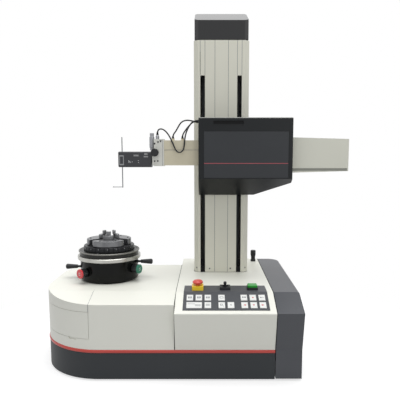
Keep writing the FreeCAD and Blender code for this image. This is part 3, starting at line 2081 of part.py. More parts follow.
node(
    "stylus_holder",
    cut(
        holder_form,
        cylinder(holder_bore, stylus_x, table_y, window_low - 1, span(window_low, window_high) + 2),
        cylinder(pin_radius + pin_clear, stylus_x, probe_y - probe_half_y, probe_z, 2 * probe_half_y, "y"),
    ),
)
stylus_rod = cylinder(stylus_radius, stylus_x, table_y, stylus_low, span(stylus_low, stylus_high))
stylus_pin = cylinder(pin_radius, stylus_x, probe_y - probe_half_y + 1.5, probe_z, span(probe_y - probe_half_y + 1.5, window_back - 1), "y")
stylus_tip = cylinder(stylus_radius * 0.7, tip_left + 1, table_y, tip_level, span(tip_left + 1, stylus_x), "x")
tip_ball = doc.addObject("Part::Sphere", "TipBall")
tip_ball.Radius = num(stylus_radius * 1.1)
put(tip_ball, "Radius", stylus_radius * 1.1)
place(tip_ball, tip_left + stylus_radius * 1.1, table_y, tip_level)
node("stylus", join(stylus_rod, stylus_pin, stylus_tip, tip_ball))


# Cables: straight runs joined by tangent arcs
def cable(label, points, radius):
    corners = [Vector(num(p[0]), num(p[1]), num(p[2])) for p in points]
    runs = [(corners[k + 1] - corners[k]).Length for k in range(len(corners) - 1)]
    edges = []
    here = corners[0]
    radii = []
    for k in range(1, len(corners) - 1):
        before = (corners[k - 1] - corners[k]).normalize()
        after = (corners[k + 1] - corners[k]).normalize()
        half_turn = (math.pi - before.getAngle(after)) / 2
        back = 0.45 * min(runs[k - 1], runs[k])
        radii.append(back / math.tan(half_turn))
        first = corners[k] + before * back
        last = corners[k] + after * back
        middle_way = (before + after).normalize()
        centre = corners[k] + middle_way * (radii[-1] / math.cos(half_turn))
        middle = centre - middle_way * radii[-1]
        edges.append(Part.LineSegment(here, first).toShape())
        edges.append(Part.Arc(first, middle, last).toShape())
        here = last
    edges.append(Part.LineSegment(here, corners[-1]).toShape())
    path = Part.Wire(edges)
    way = (corners[1] - corners[0]).normalize()
    ring = Part.Wire([Part.Circle(corners[0], way, num(radius)).toShape()])
    tube = path.makePipeShell([ring], True, True)
    want = math.pi * num(radius) ** 2 * path.Length
    print(label, "radii", [round(r, 1) for r in radii], "volume ratio", round(tube.Volume / want, 4))
    return tube


cable_radius = size("cable_radius", 1.8)
probe_route = [
    (plug_x, plug_y, plug_top),
    (plug_x, plug_y, 575),
    (-103.5, 1.5, 581),
    (-93.5, -4, 580),
    (-83, -11, 571),
    (-74.5, -16, 558),
    (-67, -19.5, 542),
    (-60.8, -21.5, 526),
    (-54, -22, 520.8),
    (-46, -22, 521.6),
    (-40.5, -21.5, 528.4),
    (-38.6, -20, 541),
    (-37.6, -17, 556),
    (-34.5, -12, 571),
    (-28.5, -6.5, 585),
    (-19.5, gland_first, gland_level - 2),
    (-14, gland_first, gland_level),
    (car_left - gland_reach, gland_first, gland_level),
]
arm_route_a = [
    (gland_a_x, gland_a_y, arm_high + beam_gland),
    (gland_a_x, gland_a_y, 566),
    (-61.5, 5, 575),
    (-54.5, 5, 588),
    (-47, 5.4, 599),
    (-35, 5.8, 603.5),
    (-22, 6, 602),
    (-14, gland_first + gland_step, gland_level),
    (car_left - gland_reach, gland_first + gland_step, gland_level),
]
arm_route_b = [
    (gland_b_x, gland_b_y, arm_high + beam_gland),
    (gland_b_x, gland_b_y, 566),
    (-38, 14.4, 577),
    (-29, 15, 588.5),
    (-20, 15.6, 597.5),
    (-14, gland_first + gland_step * 2, gland_level),
    (car_left - gland_reach, gland_first + gland_step * 2, gland_level),
]
probe_cable = doc.addObject("Part::Feature", "ProbeCable")
probe_cable.Shape = cable("probe_cable", probe_route, cable_radius)
probe_cable.Placement = Placement()
node("probe_cable", probe_cable)
tube_a = doc.addObject("Part::Feature", "ArmCableA")
tube_a.Shape = cable("arm_cable_a", arm_route_a, cable_radius)
tube_a.Placement = Placement()
tube_b = doc.addObject("Part::Feature", "ArmCableB")
tube_b.Shape = cable("arm_cable_b", arm_route_b, cable_radius)
tube_b.Placement = Placement()
node("arm_cables", group(tube_a, tube_b))

doc.recompute()
problems = []
for item in doc.Objects:
    if "Invalid" in item.State or "Error" in item.State:
        problems.append("%s %s %s" % (item.Name, item.Label, item.State))
for name, item in nodes:
    shape = item.Shape
    if shape.isNull() or not shape.isValid() or not shape.Solids:
        problems.append("%s has no valid shape" % name)
if problems:
    for line in problems:
        print(line)
    raise SystemExit("the model did not recompute cleanly")
os.makedirs("parts", exist_ok=True)
whole = None
for name, item in nodes:
    item.Shape.exportStep("parts/%s.step" % name)
    box_of = item.Shape.BoundBox
    if whole is None:
        whole = FreeCAD.BoundBox(box_of)
    else:
        whole.add(box_of)
    print(
        "%-22s solids %d  x %8.1f %8.1f  y %8.1f %8.1f  z %8.1f %8.1f  cm3 %9.2f"
        % (
            name,
            len(item.Shape.Solids),
            box_of.XMin,
            box_of.XMax,
            box_of.YMin,
            box_of.YMax,
            box_of.ZMin,
            box_of.ZMax,
            item.Shape.Volume / 1000,
        )
    )
print("pieces", len(nodes), "box", whole)
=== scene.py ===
# %% [markdown]
# # A roundness tester, dressed for its picture
# The solids of this instrument come from its CAD model and stay where they are. This lesson gives
# them light, paint, metal and plastic, and adds the small things that make it look used and real.

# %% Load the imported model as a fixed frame
import math

import bmesh
import bpy
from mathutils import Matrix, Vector


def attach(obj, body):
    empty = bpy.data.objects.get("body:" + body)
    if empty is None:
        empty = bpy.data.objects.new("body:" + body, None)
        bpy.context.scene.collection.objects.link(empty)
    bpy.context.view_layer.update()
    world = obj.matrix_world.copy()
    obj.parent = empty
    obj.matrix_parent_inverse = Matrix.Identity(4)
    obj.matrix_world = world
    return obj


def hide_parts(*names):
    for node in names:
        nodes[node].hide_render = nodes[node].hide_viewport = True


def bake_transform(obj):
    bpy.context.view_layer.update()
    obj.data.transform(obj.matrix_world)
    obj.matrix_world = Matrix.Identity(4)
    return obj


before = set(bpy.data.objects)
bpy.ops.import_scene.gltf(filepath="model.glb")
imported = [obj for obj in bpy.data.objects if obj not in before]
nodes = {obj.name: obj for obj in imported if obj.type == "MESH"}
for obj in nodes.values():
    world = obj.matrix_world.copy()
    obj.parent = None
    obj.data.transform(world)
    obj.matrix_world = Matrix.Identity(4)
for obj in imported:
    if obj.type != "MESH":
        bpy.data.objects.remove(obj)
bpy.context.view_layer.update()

# %% [markdown]
# ## The camera
# The lens stands level with the arm and looks down by under seven degrees. A small lens shift
# finishes the framing.

# %% Set up the camera
camera_data = bpy.data.cameras.new("studio_camera")
camera_data.sensor_width = 36
camera_data.lens = 43.97
camera_data.shift_x = -0.01775
camera_data.shift_y = 0.03125
camera_data.clip_end = 50
camera = bpy.data.objects.new("studio_camera", camera_data)
camera.location = (0.019, -1.2696, 0.5159)
camera.rotation_euler = (math.radians(90 - 6.784), 0, 0)
bpy.context.collection.objects.link(camera)
bpy.context.scene.camera = camera
bpy.context.scene.view_settings.view_transform = "Standard"
print("camera at", tuple(round(v, 4) for v in camera.location))

# %% [markdown]
# ## Light
# The room light is soft and comes mostly from above: the lids are nearly white and the fronts a
# shade greyer. A pale world fills the shadows. One wide lamp hangs overhead, a weaker one stands
# to the right of the lens, so the column's left corner stays in half shadow. The camera, and the
# rays that metal and glass send out, see the white backdrop instead of the dimmer room.


# %% World light
def seen_rays(tree):
    """A mask that is one for camera, glossy and transmission rays."""
    path = tree.nodes.new("ShaderNodeLightPath")
    result = path.outputs["Is Camera Ray"]
    for kind in ("Is Glossy Ray", "Is Transmission Ray"):
        either = tree.nodes.new("ShaderNodeMath")
        either.operation = "MAXIMUM"
        tree.links.new(result, either.inputs[0])
        tree.links.new(path.outputs[kind], either.inputs[1])
        result = either.outputs[0]
    return result


world = bpy.data.worlds.new("studio_air")
world.use_nodes = True
bpy.context.scene.world = world
air = world.node_tree
air.nodes.clear()
air_out = air.nodes.new("ShaderNodeOutputWorld")
air_mix = air.nodes.new("ShaderNodeMixShader")
air_room = air.nodes.new("ShaderNodeBackground")
air_seen = air.nodes.new("ShaderNodeBackground")
air_room.inputs["Color"].default_value = (0.97, 0.98, 1.0, 1)
air_room.inputs["Strength"].default_value = 0.55
air_seen.inputs["Color"].default_value = (1, 1, 1, 1)
air_seen.inputs["Strength"].default_value = 1.0
air.links.new(seen_rays(air), air_mix.inputs[0])
air.links.new(air_room.outputs[0], air_mix.inputs[1])
air.links.new(air_seen.outputs[0], air_mix.inputs[2])
air.links.new(air_mix.outputs[0], air_out.inputs["Surface"])


# %% Two soft lamps
def lamp(name, place, target, side, power):
    """A square soft lamp that looks at a point."""
    data = bpy.data.lights.new(name, "AREA")
    data.shape = "SQUARE"
    data.size = side
    data.energy = power
    thing = bpy.data.objects.new(name, data)
    thing.location = place
    way = Vector(target) - Vector(place)
    thing.rotation_euler = way.to_track_quat("-Z", "Y").to_euler()
    bpy.context.collection.objects.link(thing)
    print(name, power, "W")


lamp("lamp_overhead", (0.1, -0.1, 2.7), (0, 0, 0.3), 2.2, 60)
lamp("lamp_front", (1.3, -2.4, 1.3), (0, 0, 0.4), 1.6, 9)

# %% [markdown]
# ## Colour helpers
# Paint chips are written as the usual six-figure codes. Blender mixes light in linear values, so
# each code is turned into linear numbers first.


# %% Colour codes to linear light
def tint(code):
    values = []
    for k in (1, 3, 5):
        part = int(code[k : k + 2], 16) / 255
        values.append(part / 12.92 if part <= 0.04045 else ((part + 0.055) / 1.055) ** 2.4)
    return (*values, 1)


# %% [markdown]
# ## Two shared surface effects
# Every painted or moulded part has the same kind of liveliness: a slow drift of tone, a fine grain
# and an uneven gloss. One node group holds it, and each material sets its own amounts. The turned
# parts of the table have one more effect, the fine circles that a lathe tool leaves. It reads the
# height and the distance from the table's axis, so it works on rims and on flat tops alike.


# %% The shared grain group
grain_rise, line_rise = 0.0002, 0.0001  # metres


def new_group(name, inputs, outputs):
    """A shader node group with named sockets."""
    group = bpy.data.node_groups.new(name, "ShaderNodeTree")
    for label, kind, start in inputs:
        socket = group.interface.new_socket(label, in_out="INPUT", socket_type="NodeSocket" + kind)
        socket.default_value = start
    for label, kind in outputs:
        group.interface.new_socket(label, in_out="OUTPUT", socket_type="NodeSocket" + kind)
    return group


surface_outputs = (("Color", "Color"), ("Roughness", "Float"), ("Normal", "Vector"))
surface_inputs = (
    ("Tone A", "Color", (0.8, 0.8, 0.8, 1)),
    ("Tone B", "Color", (0.7, 0.7, 0.7, 1)),
    ("Drift Scale", "Float", 6.0),
    ("Grain Scale", "Float", 900.0),
    ("Grain Depth", "Float", 0.1),
    ("Gloss Low", "Float", 0.35),
    ("Gloss High", "Float", 0.5),
)


def finish_surface(group, enter, tone_mask, fine, rise):
    """Mix the two tones by a mask, and let a fine pattern vary the gloss and the height."""
    make, wire = group.nodes.new, group.links.new
    leave = make("NodeGroupOutput")
    blend = make("ShaderNodeMix")
    blend.data_type = "RGBA"
    gloss = make("ShaderNodeMapRange")
    bump = make("ShaderNodeBump")
    bump.inputs["Distance"].default_value = rise
    wire(tone_mask, blend.inputs["Factor"])
    wire(enter.outputs["Tone A"], blend.inputs[6])
    wire(enter.outputs["Tone B"], blend.inputs[7])
    wire(fine, gloss.inputs["Value"])
    wire(enter.outputs["Gloss Low"], gloss.inputs["To Min"])
    wire(enter.outputs["Gloss High"], gloss.inputs["To Max"])
    wire(fine, bump.inputs["Height"])
    wire(enter.outputs["Grain Depth"], bump.inputs["Strength"])
    wire(blend.outputs[2], leave.inputs["Color"])
    wire(gloss.outputs["Result"], leave.inputs["Roughness"])
    wire(bump.outputs["Normal"], leave.inputs["Normal"])


def build_grain():
    group = new_group("surface_grain", surface_inputs, surface_outputs)
    make, wire = group.nodes.new, group.links.new
    enter = make("NodeGroupInput")
    where = make("ShaderNodeTexCoord")
    drift = make("ShaderNodeTexNoise")
    drift.inputs["Detail"].default_value = 3
    fine = make("ShaderNodeTexNoise")
    fine.inputs["Detail"].default_value = 2
    wire(where.outputs["Object"], drift.inputs["Vector"])
    wire(where.outputs["Object"], fine.inputs["Vector"])
    wire(enter.outputs["Drift Scale"], drift.inputs["Scale"])
    wire(enter.outputs["Grain Scale"], fine.inputs["Scale"])
    finish_surface(group, enter, drift.outputs["Fac"], fine.outputs["Fac"], grain_rise)
    return group


grain_group = build_grain()


# %% The shared group of turned lines
table_axis = (-0.240, 0.005, 0)


def from_table(tree):
    """The coordinate node, the place seen from the table's axis, and its distance from the axis."""
    where = tree.nodes.new("ShaderNodeTexCoord")
    shift = tree.nodes.new("ShaderNodeVectorMath")
    shift.operation = "SUBTRACT"
    shift.inputs[1].default_value = table_axis
    flat = tree.nodes.new("ShaderNodeVectorMath")
    flat.operation = "MULTIPLY"
    flat.inputs[1].default_value = (1, 1, 0)
    reach = tree.nodes.new("ShaderNodeVectorMath")
    reach.operation = "LENGTH"
    tree.links.new(where.outputs["Object"], shift.inputs[0])
    tree.links.new(shift.outputs[0], flat.inputs[0])
    tree.links.new(flat.outputs[0], reach.inputs[0])
    return where, shift, reach


def build_turned():
    group = new_group("turned_lines", surface_inputs, surface_outputs)
    make, wire = group.nodes.new, group.links.new
    enter = make("NodeGroupInput")
    where, shift, reach = from_table(group)
    height = make("ShaderNodeSeparateXYZ")
    pair = make("ShaderNodeCombineXYZ")
    lines = make("ShaderNodeTexNoise")
    lines.inputs["Detail"].default_value = 3
    cloud = make("ShaderNodeTexNoise")
    both = make("ShaderNodeMath")
    both.operation = "MULTIPLY"
    wire(shift.outputs[0], height.inputs[0])
    wire(reach.outputs["Value"], pair.inputs["X"])
    wire(height.outputs["Z"], pair.inputs["Y"])
    wire(pair.outputs[0], lines.inputs["Vector"])
    wire(where.outputs["Object"], cloud.inputs["Vector"])
    wire(enter.outputs["Grain Scale"], lines.inputs["Scale"])
    wire(enter.outputs["Drift Scale"], cloud.inputs["Scale"])
    wire(lines.outputs["Fac"], both.inputs[0])
    wire(cloud.outputs["Fac"], both.inputs[1])
    finish_surface(group, enter, both.outputs[0], lines.outputs["Fac"], line_rise)
    return group


turned_group = build_turned()


# %% A finish made from one of the groups
def finish(
    name,
    light,
    dark,
    drift=6,
    grain=900,
    depth=0.1,
    gloss=(0.35, 0.5),
    metal=0.0,
    coat=0.0,
    level=0.5,
    group=grain_group,
):
    material = bpy.data.materials.new(name)
    material.use_nodes = True
    tree = material.node_tree
    shader = tree.nodes["Principled BSDF"]
    surface = tree.nodes.new("ShaderNodeGroup")
    surface.name = "surface"
    surface.node_tree = group
    surface.inputs["Tone A"].default_value = tint(light)
    surface.inputs["Tone B"].default_value = tint(dark)
    surface.inputs["Drift Scale"].default_value = drift
    surface.inputs["Grain Scale"].default_value = grain
    surface.inputs["Grain Depth"].default_value = depth
    surface.inputs["Gloss Low"].default_value = gloss[0]
    surface.inputs["Gloss High"].default_value = gloss[1]
    tree.links.new(surface.outputs["Color"], shader.inputs["Base Color"])
    tree.links.new(surface.outputs["Roughness"], shader.inputs["Roughness"])
    tree.links.new(surface.outputs["Normal"], shader.inputs["Normal"])
    shader.inputs["Metallic"].default_value = metal
    shader.inputs["Coat Weight"].default_value = coat
    shader.inputs["Coat Roughness"].default_value = 0.06
    shader.inputs["Specular IOR Level"].default_value = level
    return material


# %% [markdown]
# ## The finishes of this instrument
# Beige sheet covers, a dark skirt and end cover, a black carriage, a cream arm, a bright table
# ring over a gloss black housing, a blackened chuck with ground jaws, and a few strong colours for
# buttons and knobs. Dark pieces get a low specular level, because the white room would grey them.

# %% Paints and plastics
beige = finish(
    "beige_paint", "#E8E8DF", "#E2E2D8", drift=4, grain=1400, depth=0.12, gloss=(0.38, 0.5)
)
column_beige = finish(
    "column_paint", "#DEDDCF", "#D4D3C5", drift=3, grain=1400, depth=0.12, gloss=(0.36, 0.48)
)
skirt_dark = finish(
    "skirt_paint", "#323538", "#292C2F", drift=5, grain=1100, depth=0.2, gloss=(0.45, 0.6), level=0.3
)
side_dark = finish(
    "side_moulding", "#4B4D52", "#414348", drift=5, grain=1500, depth=0.2, gloss=(0.3, 0.42), level=0.4
)
trim_red = finish(
    "red_trim", "#C9473D", "#B83A33", drift=9, grain=900, depth=0.08, gloss=(0.3, 0.4)
)
hood_gloss = finish(
    "hood_gloss", "#1D1E20", "#17181A", drift=4, grain=900, depth=0.02, gloss=(0.1, 0.16), coat=0.2, level=0.4
)
field_grey = finish(
    "key_field_film", "#494B4F", "#404246", drift=9, grain=1800, depth=0.2, gloss=(0.4, 0.52), level=0.35
)
key_white = finish(
    "key_film", "#E2E3E0", "#D8D9D6", drift=20, grain=1800, depth=0.12, gloss=(0.38, 0.5)
)
yellow = finish(
    "stop_yellow", "#FBD92F", "#EFC924", drift=20, grain=1300, depth=0.1, gloss=(0.3, 0.4)
)
stop_red = finish(
    "stop_red", "#D8453C", "#C6382F", drift=25, grain=1300, depth=0.05, gloss=(0.25, 0.35), coat=0.2
)
knob_red = finish(
    "knob_red", "#D8323B", "#C4272F", drift=25, grain=1300, depth=0.05, gloss=(0.2, 0.3), coat=0.3
)
go_green = finish(
    "start_green", "#1C9A2B", "#158022", drift=25, grain=1300, depth=0.05, gloss=(0.25, 0.35), level=0.25
)
knob_green = finish(
    "knob_green", "#2E7B63", "#256A54", drift=25, grain=1300, depth=0.05, gloss=(0.25, 0.35)
)
black = finish(
    "black_plastic", "#2A2B2D", "#202123", drift=20, grain=1500, depth=0.15, gloss=(0.35, 0.48), level=0.3
)
seal_black = finish(
    "seal_black", "#131415", "#0C0D0E", drift=12, grain=1500, depth=0.2, gloss=(0.5, 0.65), level=0.15
)
housing_black = finish(
    "housing_black", "#111211", "#0B0C0B", drift=8, grain=1300, depth=0.03, gloss=(0.12, 0.2), level=0.15
)
carriage_black = finish(
    "carriage_paint", "#202325", "#191B1D", drift=6, grain=1500, depth=0.18, gloss=(0.3, 0.4), level=0.2
)
panel_grey = finish(
    "carriage_panel", "#3E4043", "#35373A", drift=5, grain=1600, depth=0.1, gloss=(0.3, 0.4), level=0.2
)
cream = finish(
    "cream_paint", "#D6CFB8", "#CBC3AA", drift=12, grain=2000, depth=0.08, gloss=(0.35, 0.45)
)
bracket_white = finish(
    "bracket_paint", "#DFDFD8", "#D3D3CB", drift=16, grain=2000, depth=0.08, gloss=(0.3, 0.4)
)
tail_beige = finish(
    "arm_cover_paint", "#DADACD", "#CFCFC2", drift=6, grain=1300, depth=0.1, gloss=(0.36, 0.48)
)
band_grey = finish(
    "band_grey", "#8B8C83", "#7F8078", drift=8, grain=1200, depth=0.1, gloss=(0.4, 0.5)
)
probe_dark = finish(
    "probe_housing", "#404144", "#35363A", drift=14, grain=1500, depth=0.15, gloss=(0.32, 0.44), level=0.35
)
cable_black = finish(
    "cable_jacket", "#2A2B2C", "#202122", drift=30, grain=1200, depth=0.1, gloss=(0.4, 0.55), level=0.35
)
rubber = finish(
    "soft_rubber", "#1D1E1F", "#151617", drift=20, grain=1000, depth=0.2, gloss=(0.5, 0.65), level=0.2
)
line_red = finish(
    "red_line", "#B4515A", "#A5454E", drift=20, grain=900, depth=0.05, gloss=(0.4, 0.5)
)
legend_red = finish(
    "legend_red", "#CE5A5E", "#C04B50", drift=20, grain=900, depth=0.05, gloss=(0.4, 0.5)
)
legend_grey = finish(
    "legend_grey", "#7C7E82", "#707276", drift=20, grain=900, depth=0.05, gloss=(0.4, 0.5)
)
legend_pale = finish(
    "legend_pale", "#D5D6D6", "#C5C6C6", drift=20, grain=900, depth=0.05, gloss=(0.4, 0.5)
)

# %% Metals
cast = finish(
    "machined_casting", "#6A6D70", "#55585B", drift=14, grain=700, depth=0.4, gloss=(0.45, 0.7), metal=0.6
)
steel = finish(
    "ground_steel", "#B4B6B7", "#9DA0A2", drift=20, grain=2200, depth=0.1, gloss=(0.25, 0.4), metal=1.0
)
chuck_black = finish(
    "chuck_black", "#2E2F31", "#232426", drift=30, grain=1500, depth=0.2, gloss=(0.3, 0.42),
    metal=0.5, level=0.3
)
jaw_steel = finish(
    "jaw_steel", "#8E8F90", "#55565A", drift=60, grain=1500, depth=0.2, gloss=(0.25, 0.4), metal=0.85
)
plate_dark = finish(
    "plate_metal", "#31312F", "#1B1B1A", drift=18, grain=2500, depth=0.4, gloss=(0.25, 0.45),
    metal=0.4, level=0.3, group=turned_group
)
# The table ring: fine turned lines, plus bright and dark streaks painted into its colour as reflections of
# the room.
ring_painted_streaks = finish(
    "bright_ring", "#C9C8C2", "#4C4B47", drift=30, grain=2500, depth=0.4, gloss=(0.18, 0.4),
    metal=0.9, group=turned_group
)
connector_grey = finish(
    "connector_grey", "#A9AAAE", "#909196", drift=30, grain=1500, depth=0.1, gloss=(0.3, 0.4), metal=0.4
)
holder_frame = finish(
    "holder_frame", "#A0A2A3", "#8C8E8F", drift=20, grain=1500, depth=0.1, gloss=(0.3, 0.4), metal=0.4
)
needle = finish(
    "polished_steel", "#8C8E90", "#6E7072", drift=60, grain=2500, depth=0.03, gloss=(0.2, 0.3), metal=0.6
)
screw_steel = finish(
    "screw_steel", "#77787A", "#5F6062", drift=60, grain=2500, depth=0.1, gloss=(0.25, 0.4), metal=0.9
)
screw_black = finish(
    "screw_black", "#3A3B3C", "#2B2C2D", drift=60, grain=2500, depth=0.1, gloss=(0.3, 0.45), metal=0.5
)

# %% [markdown]
# ## Two tones on one piece
# The centring knobs are black with a coloured end cap, the table plate has a ground rim over a dark
# groove, and the carriage's front top edge gets a painted highlight: a pale band where the real edge
# catches the light. The solid is one piece there, so the second tone is laid on with a mask. The mask
# reads Object coordinates: a distance along a line, or a distance from the table's axis.


# %% Masks for a second tone
def along_mask(tree, direction, level, blur=0.0001):
    """One where a point lies further along a direction than the level."""
    where = tree.nodes.new("ShaderNodeTexCoord")
    dot = tree.nodes.new("ShaderNodeVectorMath")
    dot.operation = "DOT_PRODUCT"
    dot.inputs[1].default_value = direction
    step = tree.nodes.new("ShaderNodeMapRange")
    step.inputs["From Min"].default_value = level - blur
    step.inputs["From Max"].default_value = level + blur
    tree.links.new(where.outputs["Object"], dot.inputs[0])
    tree.links.new(dot.outputs["Value"], step.inputs["Value"])
    return step.outputs["Result"]


def reach_mask(tree, radius, blur=0.0001):
    """One where a point lies further from the table's axis than the radius."""
    _, _, reach = from_table(tree)
    step = tree.nodes.new("ShaderNodeMapRange")
    step.inputs["From Min"].default_value = radius - blur
    step.inputs["From Max"].default_value = radius + blur
    tree.links.new(reach.outputs["Value"], step.inputs["Value"])
    return step.outputs["Result"]


def second_tone(material, mask, code):
    """Lay a second colour over a finish where the mask is one."""
    tree = material.node_tree
    shader = tree.nodes["Principled BSDF"]
    before = shader.inputs["Base Color"].links[0].from_socket
    over = tree.nodes.new("ShaderNodeMix")
    over.data_type = "RGBA"
    over.inputs[7].default_value = tint(code)
    tree.links.new(mask, over.inputs["Factor"])
    tree.links.new(before, over.inputs[6])
    tree.links.new(over.outputs[2], shader.inputs["Base Color"])


def both_masks(tree, first, second):
    """One where both masks are one."""
    both = tree.nodes.new("ShaderNodeMath")
    both.operation = "MULTIPLY"
    tree.links.new(first, both.inputs[0])
    tree.links.new(second, both.inputs[1])
    return both.outputs[0]


# %% Knob caps, the plate's rim and the carriage's painted edge highlight
def knob_axis(angle):
    turn = math.radians(angle)
    return Vector((math.cos(turn), math.sin(turn), 0))


red_turn, green_turn = 230, -27
cap_start, cap_relief = 0.092, 0.0008
for coat, turn in ((knob_red, red_turn), (knob_green, green_turn)):
    way = knob_axis(turn)
    level = Vector(table_axis).dot(way) + cap_start + cap_relief
    second_tone(coat, along_mask(coat.node_tree, -way, -level), "#1F2022")
rim_low, rim_inside = 0.2640, 0.0772
tree = plate_dark.node_tree
rim = both_masks(tree, along_mask(tree, (0, 0, 1), rim_low), reach_mask(tree, rim_inside))
second_tone(plate_dark, rim, "#7E7D78")
# The carriage's front top edge: a pale band painted on as a highlight, where the real edge catches the light.
highlight_low, highlight_front, highlight_blur = 0.6052, 0.0432, 0.0004
tree = carriage_black.node_tree
edge = both_masks(
    tree,
    along_mask(tree, (0, 0, 1), highlight_low, highlight_blur),
    along_mask(tree, (0, -1, 0), highlight_front, highlight_blur),
)
second_tone(carriage_black, edge, "#8E8F8A")
print("knob caps start at mm", cap_start * 1000)

# %% Give each solid its finish
coats = {
    cast: ["machine_bed", "column_frame", "saddle_plate", "spindle_housing"],
    steel: ["levelling_feet", "z_guide_rails", "spindle_bearings", "ball_screw", "spindle_shaft"]
    + ["guide_trucks", "x_rail", "arm_truck"],
    skirt_dark: ["base_skirt", "rear_panel"],
    trim_red: ["trim_strip"],
    beige: ["left_cover", "service_door", "console_cover"],
    side_dark: ["side_cover"],
    field_grey: ["key_panel"],
    key_white: ["keys"],
    yellow: ["estop_base"],
    stop_red: ["estop_button"],
    go_green: ["start_button"],
    black: ["rear_sockets", "control_bases", "z_motor", "left_lever", "right_lever", "clamp_knob"]
    + ["joystick_gimbal", "joystick_lever", "column_knob"],
    column_beige: ["column_front_cover", "column_side_covers"],
    seal_black: ["slot_seals"],
    hood_gloss: ["column_cap"],
    housing_black: ["centring_housing"],
    ring_painted_streaks: ["table_ring"],
    plate_dark: ["table_plate"],
    chuck_black: ["chuck_body", "chuck_scroll_ring"],
    jaw_steel: ["jaw_1", "jaw_2", "jaw_3"],
    knob_red: ["red_knob"],
    knob_green: ["green_knob"],
    carriage_black: ["carriage_cover", "carriage_saddle"],
    panel_grey: ["carriage_front_panel"],
    cream: ["arm_beam"],
    bracket_white: ["arm_end_bracket"],
    tail_beige: ["arm_rear_cover"],
    band_grey: ["arm_cover_strip"],
    connector_grey: ["probe_connector"],
    probe_dark: ["probe_body"],
    holder_frame: ["stylus_holder"],
    needle: ["stylus"],
    cable_black: ["probe_cable", "arm_cables"],
}
for coat, names in coats.items():
    for name in names:
        nodes[name].data.materials.clear()
        nodes[name].data.materials.append(coat)
dressed = sum(len(names) for names in coats.values())
print("solids with a finish:", dressed, "of", len(nodes))

# %% [markdown]
# ## Floor
# The instrument stands on a plain pale floor that runs up to the white background. A glow that only
# the camera, metal and glass see lifts the floor to the backdrop's white, and grows with the
# distance from the base, so no horizon shows. Near the base the soft shadow stays.

# %% Lay the floor
floor_mesh = bpy.data.meshes.new("floor")
floor_mesh.from_pydata([(-9, -9, 0), (9, -9, 0), (9, 9, 0), (-9, 9, 0)], [], [(0, 1, 2, 3)])
floor = bpy.data.objects.new("floor", floor_mesh)
bpy.context.collection.objects.link(floor)
floor_paint = bpy.data.materials.new("pale_floor")
floor_paint.use_nodes = True
floor_tree = floor_paint.node_tree
floor_shader = floor_tree.nodes["Principled BSDF"]
floor_shader.inputs["Base Color"].default_value = (0.45, 0.45, 0.45, 1)
floor_shader.inputs["Roughness"].default_value = 0.9
floor_seen = seen_rays(floor_tree)
floor_glow = floor_tree.nodes.new("ShaderNodeEmission")
floor_add = floor_tree.nodes.new("ShaderNodeAddShader")
floor_gain = floor_tree.nodes.new("ShaderNodeMath")
floor_gain.operation = "MULTIPLY"
floor_gain.inputs[1].default_value = 0.64
floor_far = floor_tree.nodes.new("ShaderNodeEmission")
floor_mix = floor_tree.nodes.new("ShaderNodeMixShader")
floor_where = floor_tree.nodes.new("ShaderNodeTexCoord")
floor_reach = floor_tree.nodes.new("ShaderNodeVectorMath")
floor_reach.operation = "LENGTH"
floor_fade = floor_tree.nodes.new("ShaderNodeMapRange")
floor_fade.inputs["From Min"].default_value = 0.45
floor_fade.inputs["From Max"].default_value = 0.75
floor_both = floor_tree.nodes.new("ShaderNodeMath")
floor_both.operation = "MULTIPLY"
wire = floor_tree.links.new
wire(floor_seen, floor_gain.inputs[0])
wire(floor_gain.outputs[0], floor_glow.inputs["Strength"])
wire(floor_shader.outputs[0], floor_add.inputs[0])
wire(floor_glow.outputs[0], floor_add.inputs[1])
wire(floor_where.outputs["Object"], floor_reach.inputs[0])
wire(floor_reach.outputs["Value"], floor_fade.inputs["Value"])
wire(floor_fade.outputs["Result"], floor_both.inputs[0])
wire(floor_seen, floor_both.inputs[1])
wire(floor_both.outputs[0], floor_mix.inputs[0])
wire(floor_add.outputs[0], floor_mix.inputs[1])
wire(floor_far.outputs[0], floor_mix.inputs[2])
wire(floor_mix.outputs[0], floor_tree.nodes["Material Output"].inputs["Surface"])
floor_mesh.materials.append(floor_paint)

# %% [markdown]
# ## Cables
# Three thin leads run from the arm up into the carriage. Each is one smooth curve through the
# points of its route. It becomes a mesh tube, because the part between arm and carriage has to
# stretch and bunch up when the arm slides.


# %% Draw a lead along its route
lead_radius = 1.8


def lead(name, route, node_name):
    curve = bpy.data.curves.new(name + "_line", "CURVE")
    curve.dimensions = "3D"
    spline = curve.splines.new("NURBS")
    spline.points.add(len(route) - 1)
    for point, place in zip(spline.points, route):
        point.co = (place[0] / 1000, place[1] / 1000, place[2] / 1000, 1)
    spline.order_u = 3
    spline.use_endpoint_u = True
    curve.resolution_u = 10
    guide = bpy.data.objects.new(name + "_guide", curve)
    bpy.context.collection.objects.link(guide)
    bpy.context.view_layer.update()
    deps = bpy.context.evaluated_depsgraph_get()
    line = bpy.data.meshes.new_from_object(guide.evaluated_get(deps))
    curve.bevel_depth = lead_radius / 1000
    curve.bevel_resolution = 4
    curve.use_fill_caps = True
    bpy.context.view_layer.update()
    deps = bpy.context.evaluated_depsgraph_get()
    tube = bpy.data.meshes.new_from_object(guide.evaluated_get(deps))
    tube.name = name
    tube.materials.clear()
    tube.materials.append(cable_black)
    for face in tube.polygons:
        face.use_smooth = True
    thing = bpy.data.objects.new(name, tube)
    bpy.context.collection.objects.link(thing)
    bpy.data.objects.remove(guide)
    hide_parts(node_name)
    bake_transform(thing)


